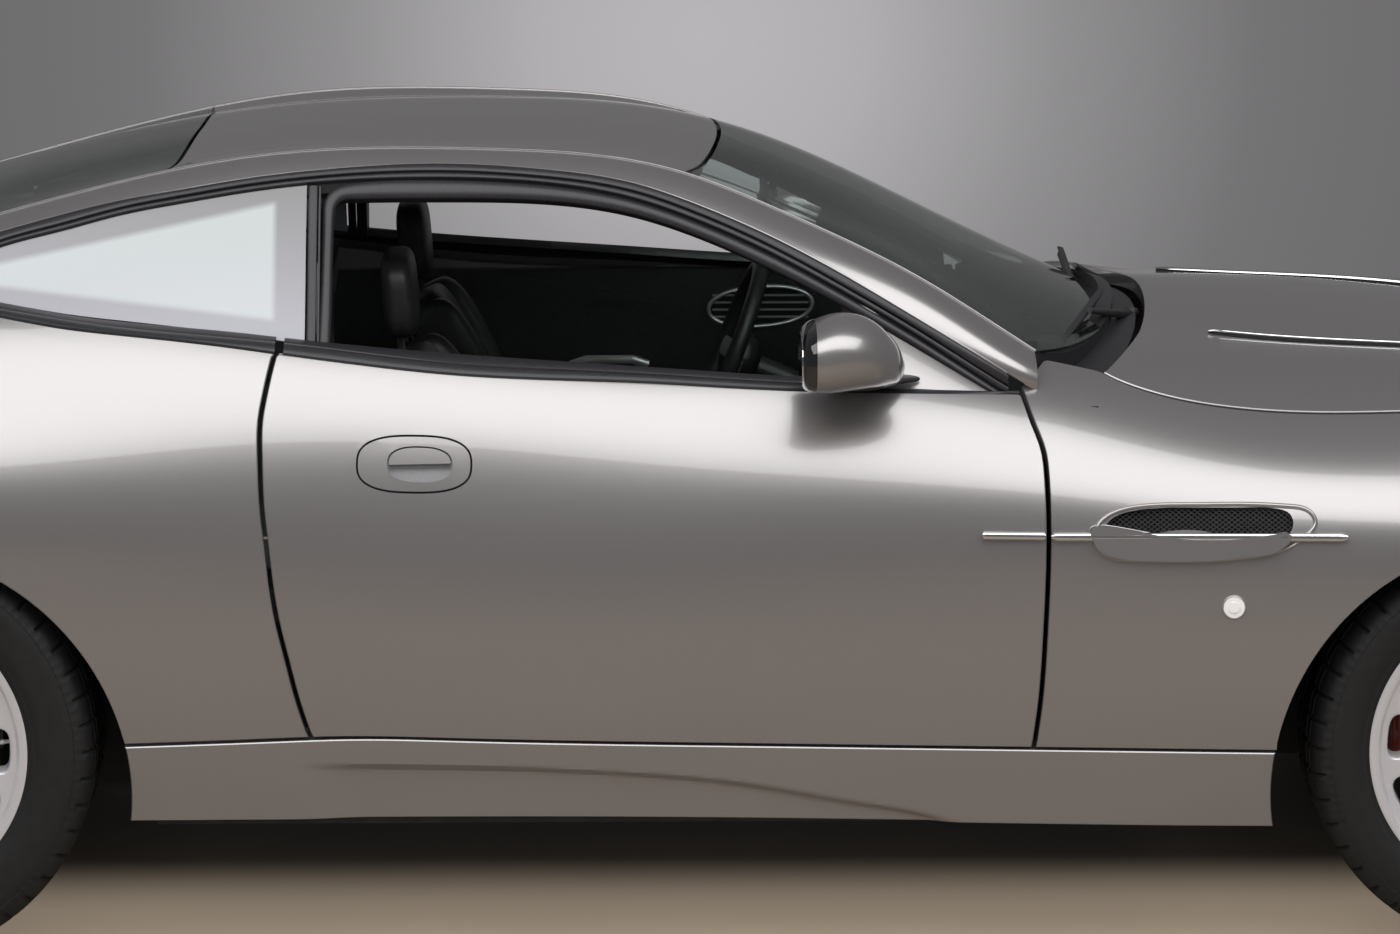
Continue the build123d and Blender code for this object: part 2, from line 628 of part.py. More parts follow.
with BuildPart() as side_frame:
    pillar_end = PILLAR_END_X - FIXED_GAP
    add(side_cut([(-1760, 900), (pillar_end, 900), (pillar_end, 1400), (-1760, 1400)], 0, HALF_WIDTH))
    add(box((500, 700), (-HALF_WIDTH, 0), (0, PILLAR_END_Z + FIXED_GAP)), mode=Mode.SUBTRACT)
    add(cabin_outside, mode=Mode.INTERSECT)
    add(cabin_inside, mode=Mode.SUBTRACT)
    add(top_hole, mode=Mode.SUBTRACT)
    with BuildPart(mode=Mode.PRIVATE) as lower:
        add(box((TAIL_X, -560), (-HALF_WIDTH, -DOOR_INNER_Y + 100), (SILL_TOP_Z, 1100)))
        add(box((TAIL_X, REAR_BULKHEAD_X), (-HALF_WIDTH, -BOOT_HALF - PANEL_GAP), (SILL_TOP_Z, 1100)))
        add(body.part, mode=Mode.INTERSECT)
        add(arch_cut.part, mode=Mode.SUBTRACT)
        add(box((TAIL_X, BUMPER_REAR_X), (-HALF_WIDTH, 0), (0, BUMPER_TOP_Z)), mode=Mode.SUBTRACT)
        add(tail_lamp_bar(-1, FIXED_GAP), mode=Mode.SUBTRACT)
        bucket_x = REAR_AXLE_X + REAR_ARCH_SHIFT
        bucket_at = (bucket_x, -inner / 2, WHEELHOUSE_CENTRE_Z)
        add(bar(bucket_at, (0, 1, 0), bucket_radius, inner), mode=Mode.SUBTRACT)
    add(lower.part)
    add(box((600, pillar_end), FOOT_Y, (870, PILLAR_END_Z + 11)))
    add(box((600, wall_front), FOOT_Y, (870, 895)))
    add(window_opening(), mode=Mode.SUBTRACT)
    add(side_cut(QUARTER_GLASS, SEAL_Y, HALF_WIDTH), mode=Mode.SUBTRACT)
    add(door_hole.part, mode=Mode.SUBTRACT)
    add(box(GLASS_STEP_X, (-GLASS_STEP_Y, 0), (900, 1500)), mode=Mode.SUBTRACT)
write(side_frame.part, "side_frame_right")
write(left_of(side_frame.part), "side_frame_left")

with BuildPart() as quarter_glass:
    add(side_cut(QUARTER_GLASS, SEAL_Y, HALF_WIDTH))
    add(cabin_outside, mode=Mode.INTERSECT)
    add(cabin_outside.moved(Location((0, GLASS_THICKNESS, 0))), mode=Mode.SUBTRACT)
    add(side_frame.part, mode=Mode.SUBTRACT)
write(both_sides(quarter_glass.part), "quarter_glass")

# ---------------------------------------------------------------- boot lid, bumpers and lamps
with BuildPart() as boot_lid:
    add(box((TAIL_X - 1, BOOT_FRONT_X), (-BOOT_HALF, BOOT_HALF), (BOOT_LOW_Z, 1100)))
    add(body.part, mode=Mode.INTERSECT)
    add(body.part.moved(Location((SKIN, 0, -SKIN))), mode=Mode.SUBTRACT)
    add(lid_bores(BOOT_HINGE_X, BOOT_HINGE_Y, BOOT_HINGE_Z, BOOT_FRONT_X + 20), mode=Mode.SUBTRACT)
write(boot_lid.part, "boot_lid")

TOW_REAR_Y = 260.0
TOW_REAR_Z = 470.0
TOW_REAR_RADIUS = 9.0
TAIL_PIPE_Y = 410.0
TAIL_PIPE_Z = 350.0
TAIL_PIPE_RADIUS = 45.0
DECK_RECESS = 42.0  # the open lid's front edge dips towards the deck
DECK_HALF = 552.0
DECK_Z = 885.0
with BuildPart() as rear_deck:
    strip_x = (BOOT_FRONT_X + 10, REAR_GLASS_BASE[1] - FIXED_GAP)
    add(top_shell(box(strip_x, (-DECK_HALF, DECK_HALF), (0, 1500)), body.part, DECK_RECESS, 82))
    add(box((BOOT_FRONT_X + 10, REAR_BULKHEAD_X), (-DECK_HALF, DECK_HALF), (DECK_Z, DECK_Z + 15)))
    add(lid_pins(BOOT_HINGE_X, BOOT_HINGE_Y, BOOT_HINGE_Z, BOOT_FRONT_X + 15, DECK_Z))
write(rear_deck.part, "parcel_shelf")

with BuildPart() as rear_bumper:
    add(box((TAIL_X - 1, BUMPER_REAR_X), (-HALF_WIDTH, HALF_WIDTH), (0, BUMPER_TOP_Z - FIXED_GAP)))
    add(body.part, mode=Mode.INTERSECT)
    add(box((-2250, BUMPER_REAR_X), (-700, 700), (320, 1000)), mode=Mode.SUBTRACT)
    for side in (-1, 1):
        hole_at = (TAIL_X, side * TAIL_PIPE_Y, TAIL_PIPE_Z)
        add(bar(hole_at, (1, 0, 0), TAIL_PIPE_RADIUS + 4, 900), mode=Mode.SUBTRACT)
    add(bar((TAIL_X + 40, -TOW_REAR_Y, TOW_REAR_Z), (1, 0, 0), TOW_REAR_RADIUS, 120), mode=Mode.SUBTRACT)
write(rear_bumper.part, "rear_bumper")

with BuildPart() as tail_lamps:
    for side in (-1, 1):
        add(tail_lamp_bar(side, 0))
    add(body.part, mode=Mode.INTERSECT)
write(tail_lamps.part, "tail_lamps")

GRILLE_HALF = 330.0
TOW_FRONT_Y = 400.0
TOW_FRONT_Z = 440.0
TOW_RADIUS = 9.0
GRILLE_LOW_Z = 365.0
GRILLE_TOP_Z = 545.0
GRILLE_X = 2200.0
with BuildPart() as nose_hole:
    add(bonnet_hole.part)
    add(body.part.moved(Location((0, 0, -SKIN - PANEL_GAP))), mode=Mode.SUBTRACT)
with BuildPart() as front_bumper:
    add(box((BUMPER_FRONT_X + FIXED_GAP, NOSE_X + 1), (-HALF_WIDTH, HALF_WIDTH), (0, 1100)))
    add(body.part, mode=Mode.INTERSECT)
    add(nose_hole.part, mode=Mode.SUBTRACT)
    add(box((0, GRILLE_X - 60), (-600, 600), (300, 620)), mode=Mode.SUBTRACT)
    add(
        box((GRILLE_X - 90, NOSE_X + 5), (-GRILLE_HALF, GRILLE_HALF), (GRILLE_LOW_Z, GRILLE_TOP_Z)),
        mode=Mode.SUBTRACT,
    )
    for side in (-1, 1):
        add(lamp_bar(side, FIXED_GAP), mode=Mode.SUBTRACT)
    add(bar((NOSE_X - 50, -TOW_FRONT_Y, TOW_FRONT_Z), (1, 0, 0), TOW_RADIUS, 100), mode=Mode.SUBTRACT)
write(front_bumper.part, "front_bumper")
with BuildPart() as headlamps:
    for side in (-1, 1):
        add(lamp_bar(side, 0))
    add(body.part, mode=Mode.INTERSECT)
    add(nose_hole.part, mode=Mode.SUBTRACT)
write(headlamps.part, "headlamps")

SLAT_PITCH = 30.0
SLAT_THICKNESS = 9.0
SLAT_DEPTH = 24.0
with BuildPart() as grille:
    half = GRILLE_HALF - FIXED_GAP
    slats = int((GRILLE_TOP_Z - GRILLE_LOW_Z) / SLAT_PITCH)
    for level in range(slats):
        z = GRILLE_LOW_Z + SLAT_PITCH * (level + 0.5)
        add(box((GRILLE_X, GRILLE_X + SLAT_DEPTH), (-half, half), (z, z + SLAT_THICKNESS)))
    for y in (-half + 5, 0, half - 5):
        upright_z = (GRILLE_LOW_Z + FIXED_GAP, GRILLE_TOP_Z - FIXED_GAP)
        add(box((GRILLE_X, GRILLE_X + 8), (y - 5, y + 5), upright_z))
write(grille.part, "grille")

# ---------------------------------------------------------------- engine and exhaust
with BuildPart() as engine:
    add(box((wall_front + 10, 1500), (-300, 300), (400 + 100 + 0.4, 860)))
    add(box((wall_front + 10, 1500), (-330 + 0.4, 330 - 0.4), (330, 501)))
write(engine.part, "engine")

PIPE_RADIUS = 28.0
TUNNEL_PIPE = (75.0, 270.0)  # y and z inside the tunnel
REAR_PIPE = (215.0, 238.0)  # y and z under the final drive
with BuildPart() as exhaust:
    add(box((-2120, -1760), (-500, 500), (325, 460)))
    for side in (-1, 1):
        joint_x = REAR_BULKHEAD_X - 55
        (front_y, front_z), (back_y, back_z) = TUNNEL_PIPE, REAR_PIPE
        add(bar(((joint_x + 950) / 2, side * front_y, front_z), (1, 0, 0), PIPE_RADIUS, 950 - joint_x))
        add(bar(((joint_x - 1790) / 2, side * back_y, back_z), (1, 0, 0), PIPE_RADIUS, joint_x + 1790))
        low, high = sorted((side * (front_y - PIPE_RADIUS), side * (back_y + PIPE_RADIUS)))
        low_z, high_z = back_z - PIPE_RADIUS, front_z + PIPE_RADIUS
        add(box((joint_x - 22, joint_x + 22), (low, high), (low_z, high_z)))
        low, high = sorted((side * (back_y - PIPE_RADIUS), side * (back_y + PIPE_RADIUS)))
        add(box((-1790, -1740), (low, high), (low_z, 330)))
        low, high = sorted((side * (front_y - PIPE_RADIUS), side * (front_y + PIPE_RADIUS)))
        add(box((900, 950), (low, high), (front_z - PIPE_RADIUS, 330 - FIXED_GAP)))
        add(bar((-2215, side * TAIL_PIPE_Y, TAIL_PIPE_Z), (1, 0, 0), TAIL_PIPE_RADIUS, 226))
write(exhaust.part, "exhaust")

# ---------------------------------------------------------------- cabin
DASH_HALF = 690.0
DASH_FRONT_X = FIREWALL_X - FIXED_GAP
DASH_PROFILE = (
    (330, 660), (360, 830), (415, 885), (540, 885), (600, 866),
    (DASH_FRONT_X, 850), (DASH_FRONT_X, 560), (400, 600),
)
STEER_X = 141.0
STEER_Y = 375.0
STEER_Z = 810.0
STEER_RAKE = 21.0
STEER_RADIUS = 180.0
STEER_GRIP = 16.0
COLUMN_RADIUS = 24.0
column = (-cos(radians(STEER_RAKE)), 0, sin(radians(STEER_RAKE)))
steer_centre = (STEER_X, STEER_Y, STEER_Z)
with BuildPart() as dashboard:
    add(side_cut(DASH_PROFILE, -DASH_HALF, 2 * DASH_HALF))
    add(bar(steer_centre, column, COLUMN_RADIUS + PIN_CLEARANCE, 620), mode=Mode.SUBTRACT)
    add(cowl.part, mode=Mode.SUBTRACT)
write(dashboard.part, "dashboard")

with BuildPart() as console:
    console_z = TUNNEL_TOP_Z + 1
    add(side_cut([(-560, console_z), (-560, 600), (250, 560), (398, 700), (398, console_z)], -95, 190))
    add(dashboard.part, mode=Mode.SUBTRACT)
write(console.part, "centre_console")

SEAT_Y = 375.0
SEAT_HALF = 190.0
SEAT_PROFILE = (
    (230, 300), (245, 480), (-180, 520), (-395, 960), (-405, 1110),
    (-470, 1110), (-500, 960), (-330, 460), (-300, 300),
)
with BuildPart() as seats:
    for side in (-1, 1):
        add(side_cut(SEAT_PROFILE, side * SEAT_Y - SEAT_HALF, 2 * SEAT_HALF))
        add(box((-280, 210), (side * SEAT_Y - 160, side * SEAT_Y + 160), (floor_top + PIN_CLEARANCE, 301)))
write(seats.part, "front_seats")
with BuildPart() as rear_seats:
    profile = [(-800, 240), (-770, 470), (-960, 450), (-1030, 860), (-1070, 860), (-1070, 240)]
    add(side_cut(profile, -590, 1180))
    tunnel_side, tunnel_top = TUNNEL_HALF + PIN_CLEARANCE, TUNNEL_TOP_Z + PIN_CLEARANCE
    add(box((-1100, -700), (-tunnel_side, tunnel_side), (0, tunnel_top)), mode=Mode.SUBTRACT)
write(rear_seats.part, "rear_seats")

with BuildPart() as steering_wheel:
    wheel_plane = Plane(origin=steer_centre, x_dir=(0, 1, 0), z_dir=column)
    grip_normal = (sin(radians(STEER_RAKE)), 0, cos(radians(STEER_RAKE)))
    grip_plane = Plane(origin=steer_centre, x_dir=(0, 1, 0), z_dir=grip_normal)
    with BuildSketch(grip_plane):
        with Locations((STEER_RADIUS, 0)):
            Circle(STEER_GRIP)
    revolve(axis=Axis(steer_centre, column))
    with BuildSketch(wheel_plane):
        Circle(62)
        for turn in (90, 210, 330):
            with Locations(Location((0, 0, 0), (0, 0, turn))):
                with Locations((STEER_RADIUS / 2, 0)):
                    Rectangle(STEER_RADIUS, 34)
    extrude(amount=-22)
    with BuildSketch(wheel_plane.offset(-20)):
        Circle(COLUMN_RADIUS)
    extrude(amount=-250)
write(steering_wheel.part, "steering_wheel")

# ---------------------------------------------------------------- wipers
WIPERS = (
    # pivot x, y, tip x, y
    (755, -330, 785, 150),
    (790, 180, 650, 600),
)
WIPER_HALF = 9.0
with BuildPart() as wipers:
    for pivot_x, pivot_y, tip_x, tip_y in WIPERS:
        turn = atan2(tip_y - pivot_y, tip_x - pivot_x)
        off_x, off_y = -WIPER_HALF * sin(turn), WIPER_HALF * cos(turn)
        with BuildPart(mode=Mode.PRIVATE) as strip:
            with BuildSketch(Plane.XY.offset(FLOOR_Z)):
                Polygon(
                    (pivot_x + off_x, pivot_y + off_y),
                    (tip_x + off_x, tip_y + off_y),
                    (tip_x - off_x, tip_y - off_y),
                    (pivot_x - off_x, pivot_y - off_y),
                    align=None,
                )
            extrude(amount=1500)
        add(top_shell(strip.part, cabin_outside, -FIXED_GAP - 10, 10))
write(wipers.part, "wipers")

# ---------------------------------------------------------------- running gear
HUB_FACE = 21.0  # the wheel bolts up this far inboard of its centre plane
DISC_THICKNESS = 28.0
DISC_RADIUS = 178.0
SPINDLE_RADIUS = 30.0
KINGPIN_IN = 80.0  # the steering axis stands this far inboard of the wheel's centre plane
KINGPIN_RADIUS = 10.0
EYE_RADIUS = 22.0
UPRIGHT_HALF = 15.0
ARM_LOW_Z = (180.0, 205.0)
ARM_HIGH_Z = (480.0, 500.0)
WHEELS = (
    # name, axle x, wheel centre y, rim width, tyre width, tyre radius
    ("front_right", FRONT_AXLE_X, -FRONT_TRACK / 2, FRONT_RIM_WIDTH, FRONT_TYRE_WIDTH, FRONT_TYRE_RADIUS),
    ("front_left", FRONT_AXLE_X, FRONT_TRACK / 2, FRONT_RIM_WIDTH, FRONT_TYRE_WIDTH, FRONT_TYRE_RADIUS),
    ("rear_right", REAR_AXLE_X, -REAR_TRACK / 2, REAR_RIM_WIDTH, REAR_TYRE_WIDTH, REAR_TYRE_RADIUS),
    ("rear_left", REAR_AXLE_X, REAR_TRACK / 2, REAR_RIM_WIDTH, REAR_TYRE_WIDTH, REAR_TYRE_RADIUS),
)


def upright(x, y, z, pins):
    """Hub carrier, spindle and caliper for a wheel centred there, with steering pins if asked for."""
    side = 1 if y > 0 else -1
    centre = abs(y) - KINGPIN_IN

    def across(low, high):
        return tuple(sorted((side * low, side * high)))

    face = across(centre - UPRIGHT_HALF, centre + UPRIGHT_HALF)
    with BuildPart() as carrier:
        add(box((x - 32, x + 32), face, (ARM_LOW_Z[1] + 5, ARM_HIGH_Z[0] - 5)))
        add(bar((x, side * centre, z), (0, 1, 0), 60, 2 * UPRIGHT_HALF))
        spindle_end = abs(y) - HUB_FACE - 8
        middle = side * (centre + spindle_end) / 2
        add(bar((x, middle, z), (0, 1, 0), SPINDLE_RADIUS, spindle_end - centre))
        add(box((x - 195, x - 20), face, (z - 45, z + 45)))
        disc_out = abs(y) - HUB_FACE
        disc_in = disc_out - DISC_THICKNESS
        add(box((x - 198, x - 120), across(centre - UPRIGHT_HALF, disc_out + 24), (z - 60, z + 60)))
        slot = across(disc_in - 5, disc_out + 5)
        add(bar((x, sum(slot) / 2, z), (0, 1, 0), DISC_RADIUS + 5, slot[1] - slot[0]), mode=Mode.SUBTRACT)
        add(bar((x, middle, z), (0, 1, 0), SPINDLE_RADIUS, spindle_end - centre))
        if pins:
            low, high = ARM_LOW_Z[0] - 4, ARM_HIGH_Z[1] + 4
            add(bar((x, side * centre, (low + high) / 2), (0, 0, 1), KINGPIN_RADIUS, high - low))
    return carrier.part


def arms(x, y, root_y, eye):
    """Upper and lower arms from a post at root_y out to the upright, ending in eyes or in the upright."""
    side = 1 if y > 0 else -1
    centre = abs(y) - KINGPIN_IN
    with BuildPart() as pair:
        for low, high in (ARM_LOW_Z, ARM_HIGH_Z):
            ends = sorted((side * root_y, side * centre))
            add(box((x - EYE_RADIUS, x + EYE_RADIUS), tuple(ends), (low, high)))
            add(bar((x, side * centre, (low + high) / 2), (0, 0, 1), EYE_RADIUS, high - low))
        post = sorted((side * root_y, side * (root_y + 28)))
        add(box((x - 32, x + 32), tuple(post), (ARM_LOW_Z[0], ARM_HIGH_Z[1])))
        beam_end = side * (root_y + 5)
        add(box((x - 32, x + 32), (min(0, beam_end), max(0, beam_end)), (ARM_LOW_Z[0], 205)))
        if eye:
            add(
                bar((x, side * centre, 340), (0, 0, 1), KINGPIN_RADIUS + PIN_CLEARANCE, 400),
                mode=Mode.SUBTRACT,
            )
        damper_y = side * (root_y + 75)
        damper_at = (x, damper_y, (ARM_LOW_Z[0] + ARM_HIGH_Z[1]) / 2)
        add(bar(damper_at, (0, 0, 1), 32, ARM_HIGH_Z[1] - ARM_LOW_Z[0]))
    return pair.part


FRONT_ROOT_Y = 400.0 + PIN_CLEARANCE
REAR_ROOT_Y = 480.0
with BuildPart() as front_suspension:
    for _, x, y, _, _, _ in WHEELS[:2]:
        add(arms(x, y, FRONT_ROOT_Y, True))
    add(box((FRONT_AXLE_X - 90, FRONT_AXLE_X + 90), (-340, 340), (ARM_LOW_Z[0], 240)))
    add(bar((FRONT_AXLE_X - 95, 0, 215), (0, 1, 0), 24, 2 * FRONT_ROOT_Y))
write(front_suspension.part, "front_suspension")

with BuildPart() as rear_suspension:
    for _, x, y, _, _, radius in WHEELS[2:]:
        add(arms(x, y, REAR_ROOT_Y, False))
        add(upright(x, y, radius, True))
        low, high = sorted((0, y - (1 if y > 0 else -1) * KINGPIN_IN))
        add(box((x - 20, x + 20), (low, high), (radius - 20, radius + 20)))
    add(box((REAR_AXLE_X - 110, REAR_AXLE_X + 110), (-160, 160), (262, 440)))
    add(box((REAR_AXLE_X - 45, REAR_AXLE_X + 45), (-170, 170), (ARM_LOW_Z[0], 262)))
write(rear_suspension.part, "rear_suspension")

for name, x, y, _, _, radius in WHEELS[:2]:
    write(upright(x, y, radius, True), f"knuckle_{name}")

# ---------------------------------------------------------------- wheels
WINDOWS = 12
for name, x, y, rim_width, tyre_width, radius in WHEELS:
    out = 1 if y > 0 else -1
    half = rim_width / 2
    # sketch x is the radius, sketch y the distance outboard of the wheel's centre plane
    profile_plane = Plane(origin=(x, y, radius), x_dir=(0, 0, 1), z_dir=(-out, 0, 0))
    with BuildPart() as rim:
        with BuildSketch(profile_plane):
            Polygon(
                (0, -HUB_FACE + FIXED_GAP),
                (78, -HUB_FACE + FIXED_GAP),
                (78, half - 50),
                (170, half - 40),
                (228, half - 34),
                (228, -half),
                (FLANGE_RADIUS, -half),
                (FLANGE_RADIUS, 8 - half),
                (BEAD_RADIUS, 14 - half),
                (BEAD_RADIUS, half - 14),
                (FLANGE_RADIUS, half - 8),
                (FLANGE_RADIUS, half),
                (236, half),
                (230, half - 12),
                (170, half - 20),
                (78, half - 28),
                (0, half - 28),
                align=None,
            )
        revolve(axis=Axis((x, y, radius), (0, 1, 0)))
        with BuildSketch(Plane(origin=(x, y, radius), x_dir=(1, 0, 0), z_dir=(0, out, 0)).offset(half - 62)):
            for step in range(WINDOWS):
                with Locations(Location((0, 0, 0), (0, 0, 360 / WINDOWS * step))):
                    Polygon(
                        (118, -19), (205, -38), (222, -30), (222, 30), (205, 38), (118, 19), align=None,
                    )
        extrude(amount=80, mode=Mode.SUBTRACT)
    write(rim.part, f"rim_{name}")
    with BuildPart() as tyre:
        with BuildSketch(profile_plane):
            tyre_half = tyre_width / 2
            right = [
                (FLANGE_RADIUS + PIN_CLEARANCE, half - 4),
                (262, tyre_half - 6),
                (282, tyre_half),
                (radius - 42, tyre_half),
                (radius - 14, tyre_half - 14),
                (radius, tyre_half - 34),
            ]
            inner = [(BEAD_RADIUS + PIN_CLEARANCE, half - 16), (FLANGE_RADIUS + PIN_CLEARANCE, half - 8)]
            outline = inner + right
            Polygon(*outline, *[(r, -w) for r, w in reversed(outline)], align=None)
        revolve(axis=Axis((x, y, radius), (0, 1, 0)))
    write(tyre.part, f"tyre_{name}")
    with BuildPart() as disc:
        middle = abs(y) - HUB_FACE - DISC_THICKNESS / 2
        add(bar((x, out * middle, radius), (0, 1, 0), DISC_RADIUS, DISC_THICKNESS))
        bore = SPINDLE_RADIUS + PIN_CLEARANCE
        add(bar((x, out * middle, radius), (0, 1, 0), bore, 2 * DISC_THICKNESS), mode=Mode.SUBTRACT)
    write(disc.part, f"brake_disc_{name}")
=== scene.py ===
"""The looks of a two-door coupe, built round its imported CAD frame.

Lengths are in millimetres until a mesh is made."""

import json
import math

import bpy
import numpy as np
from mathutils import Matrix, Vector

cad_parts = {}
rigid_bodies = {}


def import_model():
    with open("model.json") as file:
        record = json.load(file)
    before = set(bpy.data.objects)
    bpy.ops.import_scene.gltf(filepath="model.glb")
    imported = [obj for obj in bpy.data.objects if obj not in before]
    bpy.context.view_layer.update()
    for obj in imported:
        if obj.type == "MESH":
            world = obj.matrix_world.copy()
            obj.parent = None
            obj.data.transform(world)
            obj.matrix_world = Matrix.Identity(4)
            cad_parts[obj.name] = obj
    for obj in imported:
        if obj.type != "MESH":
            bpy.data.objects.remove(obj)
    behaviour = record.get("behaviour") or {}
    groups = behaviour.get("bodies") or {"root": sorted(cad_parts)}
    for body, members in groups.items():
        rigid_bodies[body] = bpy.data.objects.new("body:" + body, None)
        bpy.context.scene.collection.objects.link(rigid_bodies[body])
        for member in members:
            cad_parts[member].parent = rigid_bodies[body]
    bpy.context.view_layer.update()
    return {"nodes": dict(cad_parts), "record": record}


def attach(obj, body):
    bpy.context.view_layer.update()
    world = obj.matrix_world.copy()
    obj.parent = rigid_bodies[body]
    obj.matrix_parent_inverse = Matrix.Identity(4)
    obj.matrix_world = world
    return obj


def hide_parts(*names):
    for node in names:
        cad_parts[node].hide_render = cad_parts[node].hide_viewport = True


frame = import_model()
MM = 0.001

# ---------------------------------------------------------------- materials


def node_material(name, color, rough, metal=0.0, **extra):
    """A principled material with fine procedural variation in its colour, roughness and bump."""
    mat = bpy.data.materials.new(name)
    mat.use_nodes = True
    nodes, links = mat.node_tree.nodes, mat.node_tree.links
    shader = nodes["Principled BSDF"]
    shader.inputs["Metallic"].default_value = metal
    for key in ("Coat Weight", "Coat Roughness", "Transmission Weight", "IOR", "Specular IOR Level",
                "Sheen Weight"):
        if key in extra:
            shader.inputs[key].default_value = extra[key]
    place = nodes.new("ShaderNodeTexCoord")
    noise = nodes.new("ShaderNodeTexNoise")
    noise.inputs["Scale"].default_value = extra.get("scale", 60.0)
    noise.inputs["Detail"].default_value = extra.get("detail", 4.0)
    links.new(place.outputs["Object"], noise.inputs["Vector"])
    tone = nodes.new("ShaderNodeValToRGB")
    spread = extra.get("spread", 0.12)
    tone.color_ramp.elements[0].position = 0.3
    tone.color_ramp.elements[1].position = 0.7
    tone.color_ramp.elements[0].color = [c * (1 - spread) for c in color] + [1]
    tone.color_ramp.elements[1].color = [min(1, c * (1 + spread)) for c in color] + [1]
    links.new(noise.outputs["Fac"], tone.inputs["Fac"])
    links.new(tone.outputs["Color"], shader.inputs["Base Color"])
    grit = nodes.new("ShaderNodeMapRange")
    grit.inputs["To Min"].default_value = max(0.0, rough - extra.get("rough_spread", 0.05))
    grit.inputs["To Max"].default_value = rough + extra.get("rough_spread", 0.05)
    links.new(noise.outputs["Fac"], grit.inputs["Value"])
    links.new(grit.outputs["Result"], shader.inputs["Roughness"])
    if extra.get("bump", 0.0):
        if extra.get("grain"):
            cells = nodes.new("ShaderNodeTexVoronoi")
            cells.feature = "DISTANCE_TO_EDGE"
            cells.inputs["Scale"].default_value = extra["grain"]
            links.new(place.outputs["Object"], cells.inputs["Vector"])
            source = cells.outputs["Distance"]
        else:
            source = noise.outputs["Fac"]
        bump = nodes.new("ShaderNodeBump")
        bump.inputs["Strength"].default_value = extra["bump"]
        bump.inputs["Distance"].default_value = extra.get("bump_depth", 0.0006)
        links.new(source, bump.inputs["Height"])
        links.new(bump.outputs["Normal"], shader.inputs["Normal"])
    return mat


# name: colour, roughness, metal, and what differs from node_material's own values
LOOKS = {
    "paint": ((0.34, 0.325, 0.325), 0.30, 0.8, {
        "Coat Weight": 1.0, "Coat Roughness": 0.03, "scale": 1500.0, "spread": 0.05, "rough_spread": 0.03}),
    "underbody": ((0.025, 0.025, 0.027), 0.7, 0.0, {"scale": 30.0, "spread": 0.3, "bump": 0.3}),
    "arch_plastic": ((0.016, 0.016, 0.017), 0.75, 0.0, {"scale": 80.0, "spread": 0.25, "bump": 0.4}),
    "black_plastic": ((0.018, 0.018, 0.020), 0.42, 0.0, {"scale": 220.0, "spread": 0.15, "bump": 0.15}),
    "seal_rubber": ((0.018, 0.017, 0.020), 0.38, 0.0, {"scale": 160.0, "spread": 0.2, "bump": 0.1}),
    "gloss_black": ((0.006, 0.006, 0.007), 0.08, 0.0, {
        "scale": 40.0, "spread": 0.2, "rough_spread": 0.02, "Coat Weight": 1.0}),
    "gap_black": ((0.004, 0.004, 0.004), 0.9, 0.0, {"scale": 40.0, "spread": 0.2}),
    "bright_trim": ((0.78, 0.78, 0.79), 0.14, 1.0, {"scale": 300.0, "spread": 0.03}),
    "silver_plastic": ((0.45, 0.45, 0.46), 0.3, 0.7, {"scale": 300.0, "spread": 0.05}),
    "engine_metal": ((0.25, 0.25, 0.26), 0.5, 0.8, {"scale": 40.0, "spread": 0.2, "bump": 0.4}),
    "exhaust_steel": ((0.42, 0.40, 0.38), 0.3, 1.0, {"scale": 25.0, "spread": 0.2, "bump": 0.1}),
    "leather_black": ((0.014, 0.014, 0.015), 0.42, 0.0, {
        "scale": 90.0, "spread": 0.3, "bump": 0.35, "grain": 700.0,
        "bump_depth": 0.0004, "Specular IOR Level": 0.5}),
    "carpet_black": ((0.012, 0.012, 0.013), 0.95, 0.0, {
        "scale": 900.0, "spread": 0.5, "bump": 0.8, "Sheen Weight": 0.2}),
    "chassis_metal": ((0.06, 0.06, 0.062), 0.55, 0.6, {"scale": 60.0, "spread": 0.25, "bump": 0.3}),
    "alloy": ((0.70, 0.69, 0.71), 0.34, 0.55, {
        "scale": 500.0, "spread": 0.03, "Coat Weight": 0.6, "Coat Roughness": 0.08}),
    "disc_iron": ((0.3, 0.29, 0.28), 0.35, 1.0, {"scale": 90.0, "spread": 0.2, "bump": 0.1}),
    "tyre": ((0.007, 0.0068, 0.007), 0.62, 0.0, {"scale": 70.0, "spread": 0.25, "bump": 0.25}),
    "lamp_red": ((0.30, 0.008, 0.012), 0.1, 0.0, {"scale": 60.0, "spread": 0.1, "Coat Weight": 1.0}),
    "lamp_amber": ((0.75, 0.72, 0.70), 0.15, 0.0, {"scale": 60.0, "spread": 0.05, "Coat Weight": 1.0}),
    "mesh_metal": ((0.10, 0.10, 0.105), 0.4, 0.6, {"scale": 200.0, "spread": 0.15}),
    "caliper": ((0.14, 0.022, 0.018), 0.4, 0.0, {"scale": 80.0, "spread": 0.2}),
    "mirror_glass": ((0.8, 0.8, 0.8), 0.02, 1.0, {"scale": 30.0, "spread": 0.01, "rough_spread": 0.01}),
}
MATERIALS = {name: node_material(name, color, rough, metal, **more)
             for name, (color, rough, metal, more) in LOOKS.items()}


def glass_material(name, color):
    """Clear tinted glass, with faint variation in its tint."""
    return node_material(name, color, 0.0, scale=4.0, spread=0.02, rough_spread=0.0, **{
        "Transmission Weight": 1.0, "IOR": 1.45})


MATERIALS["glass"] = glass_material("glass", (0.62, 0.74, 0.70))
MATERIALS["lamp_clear"] = glass_material("lamp_clear", (0.92, 0.93, 0.94))


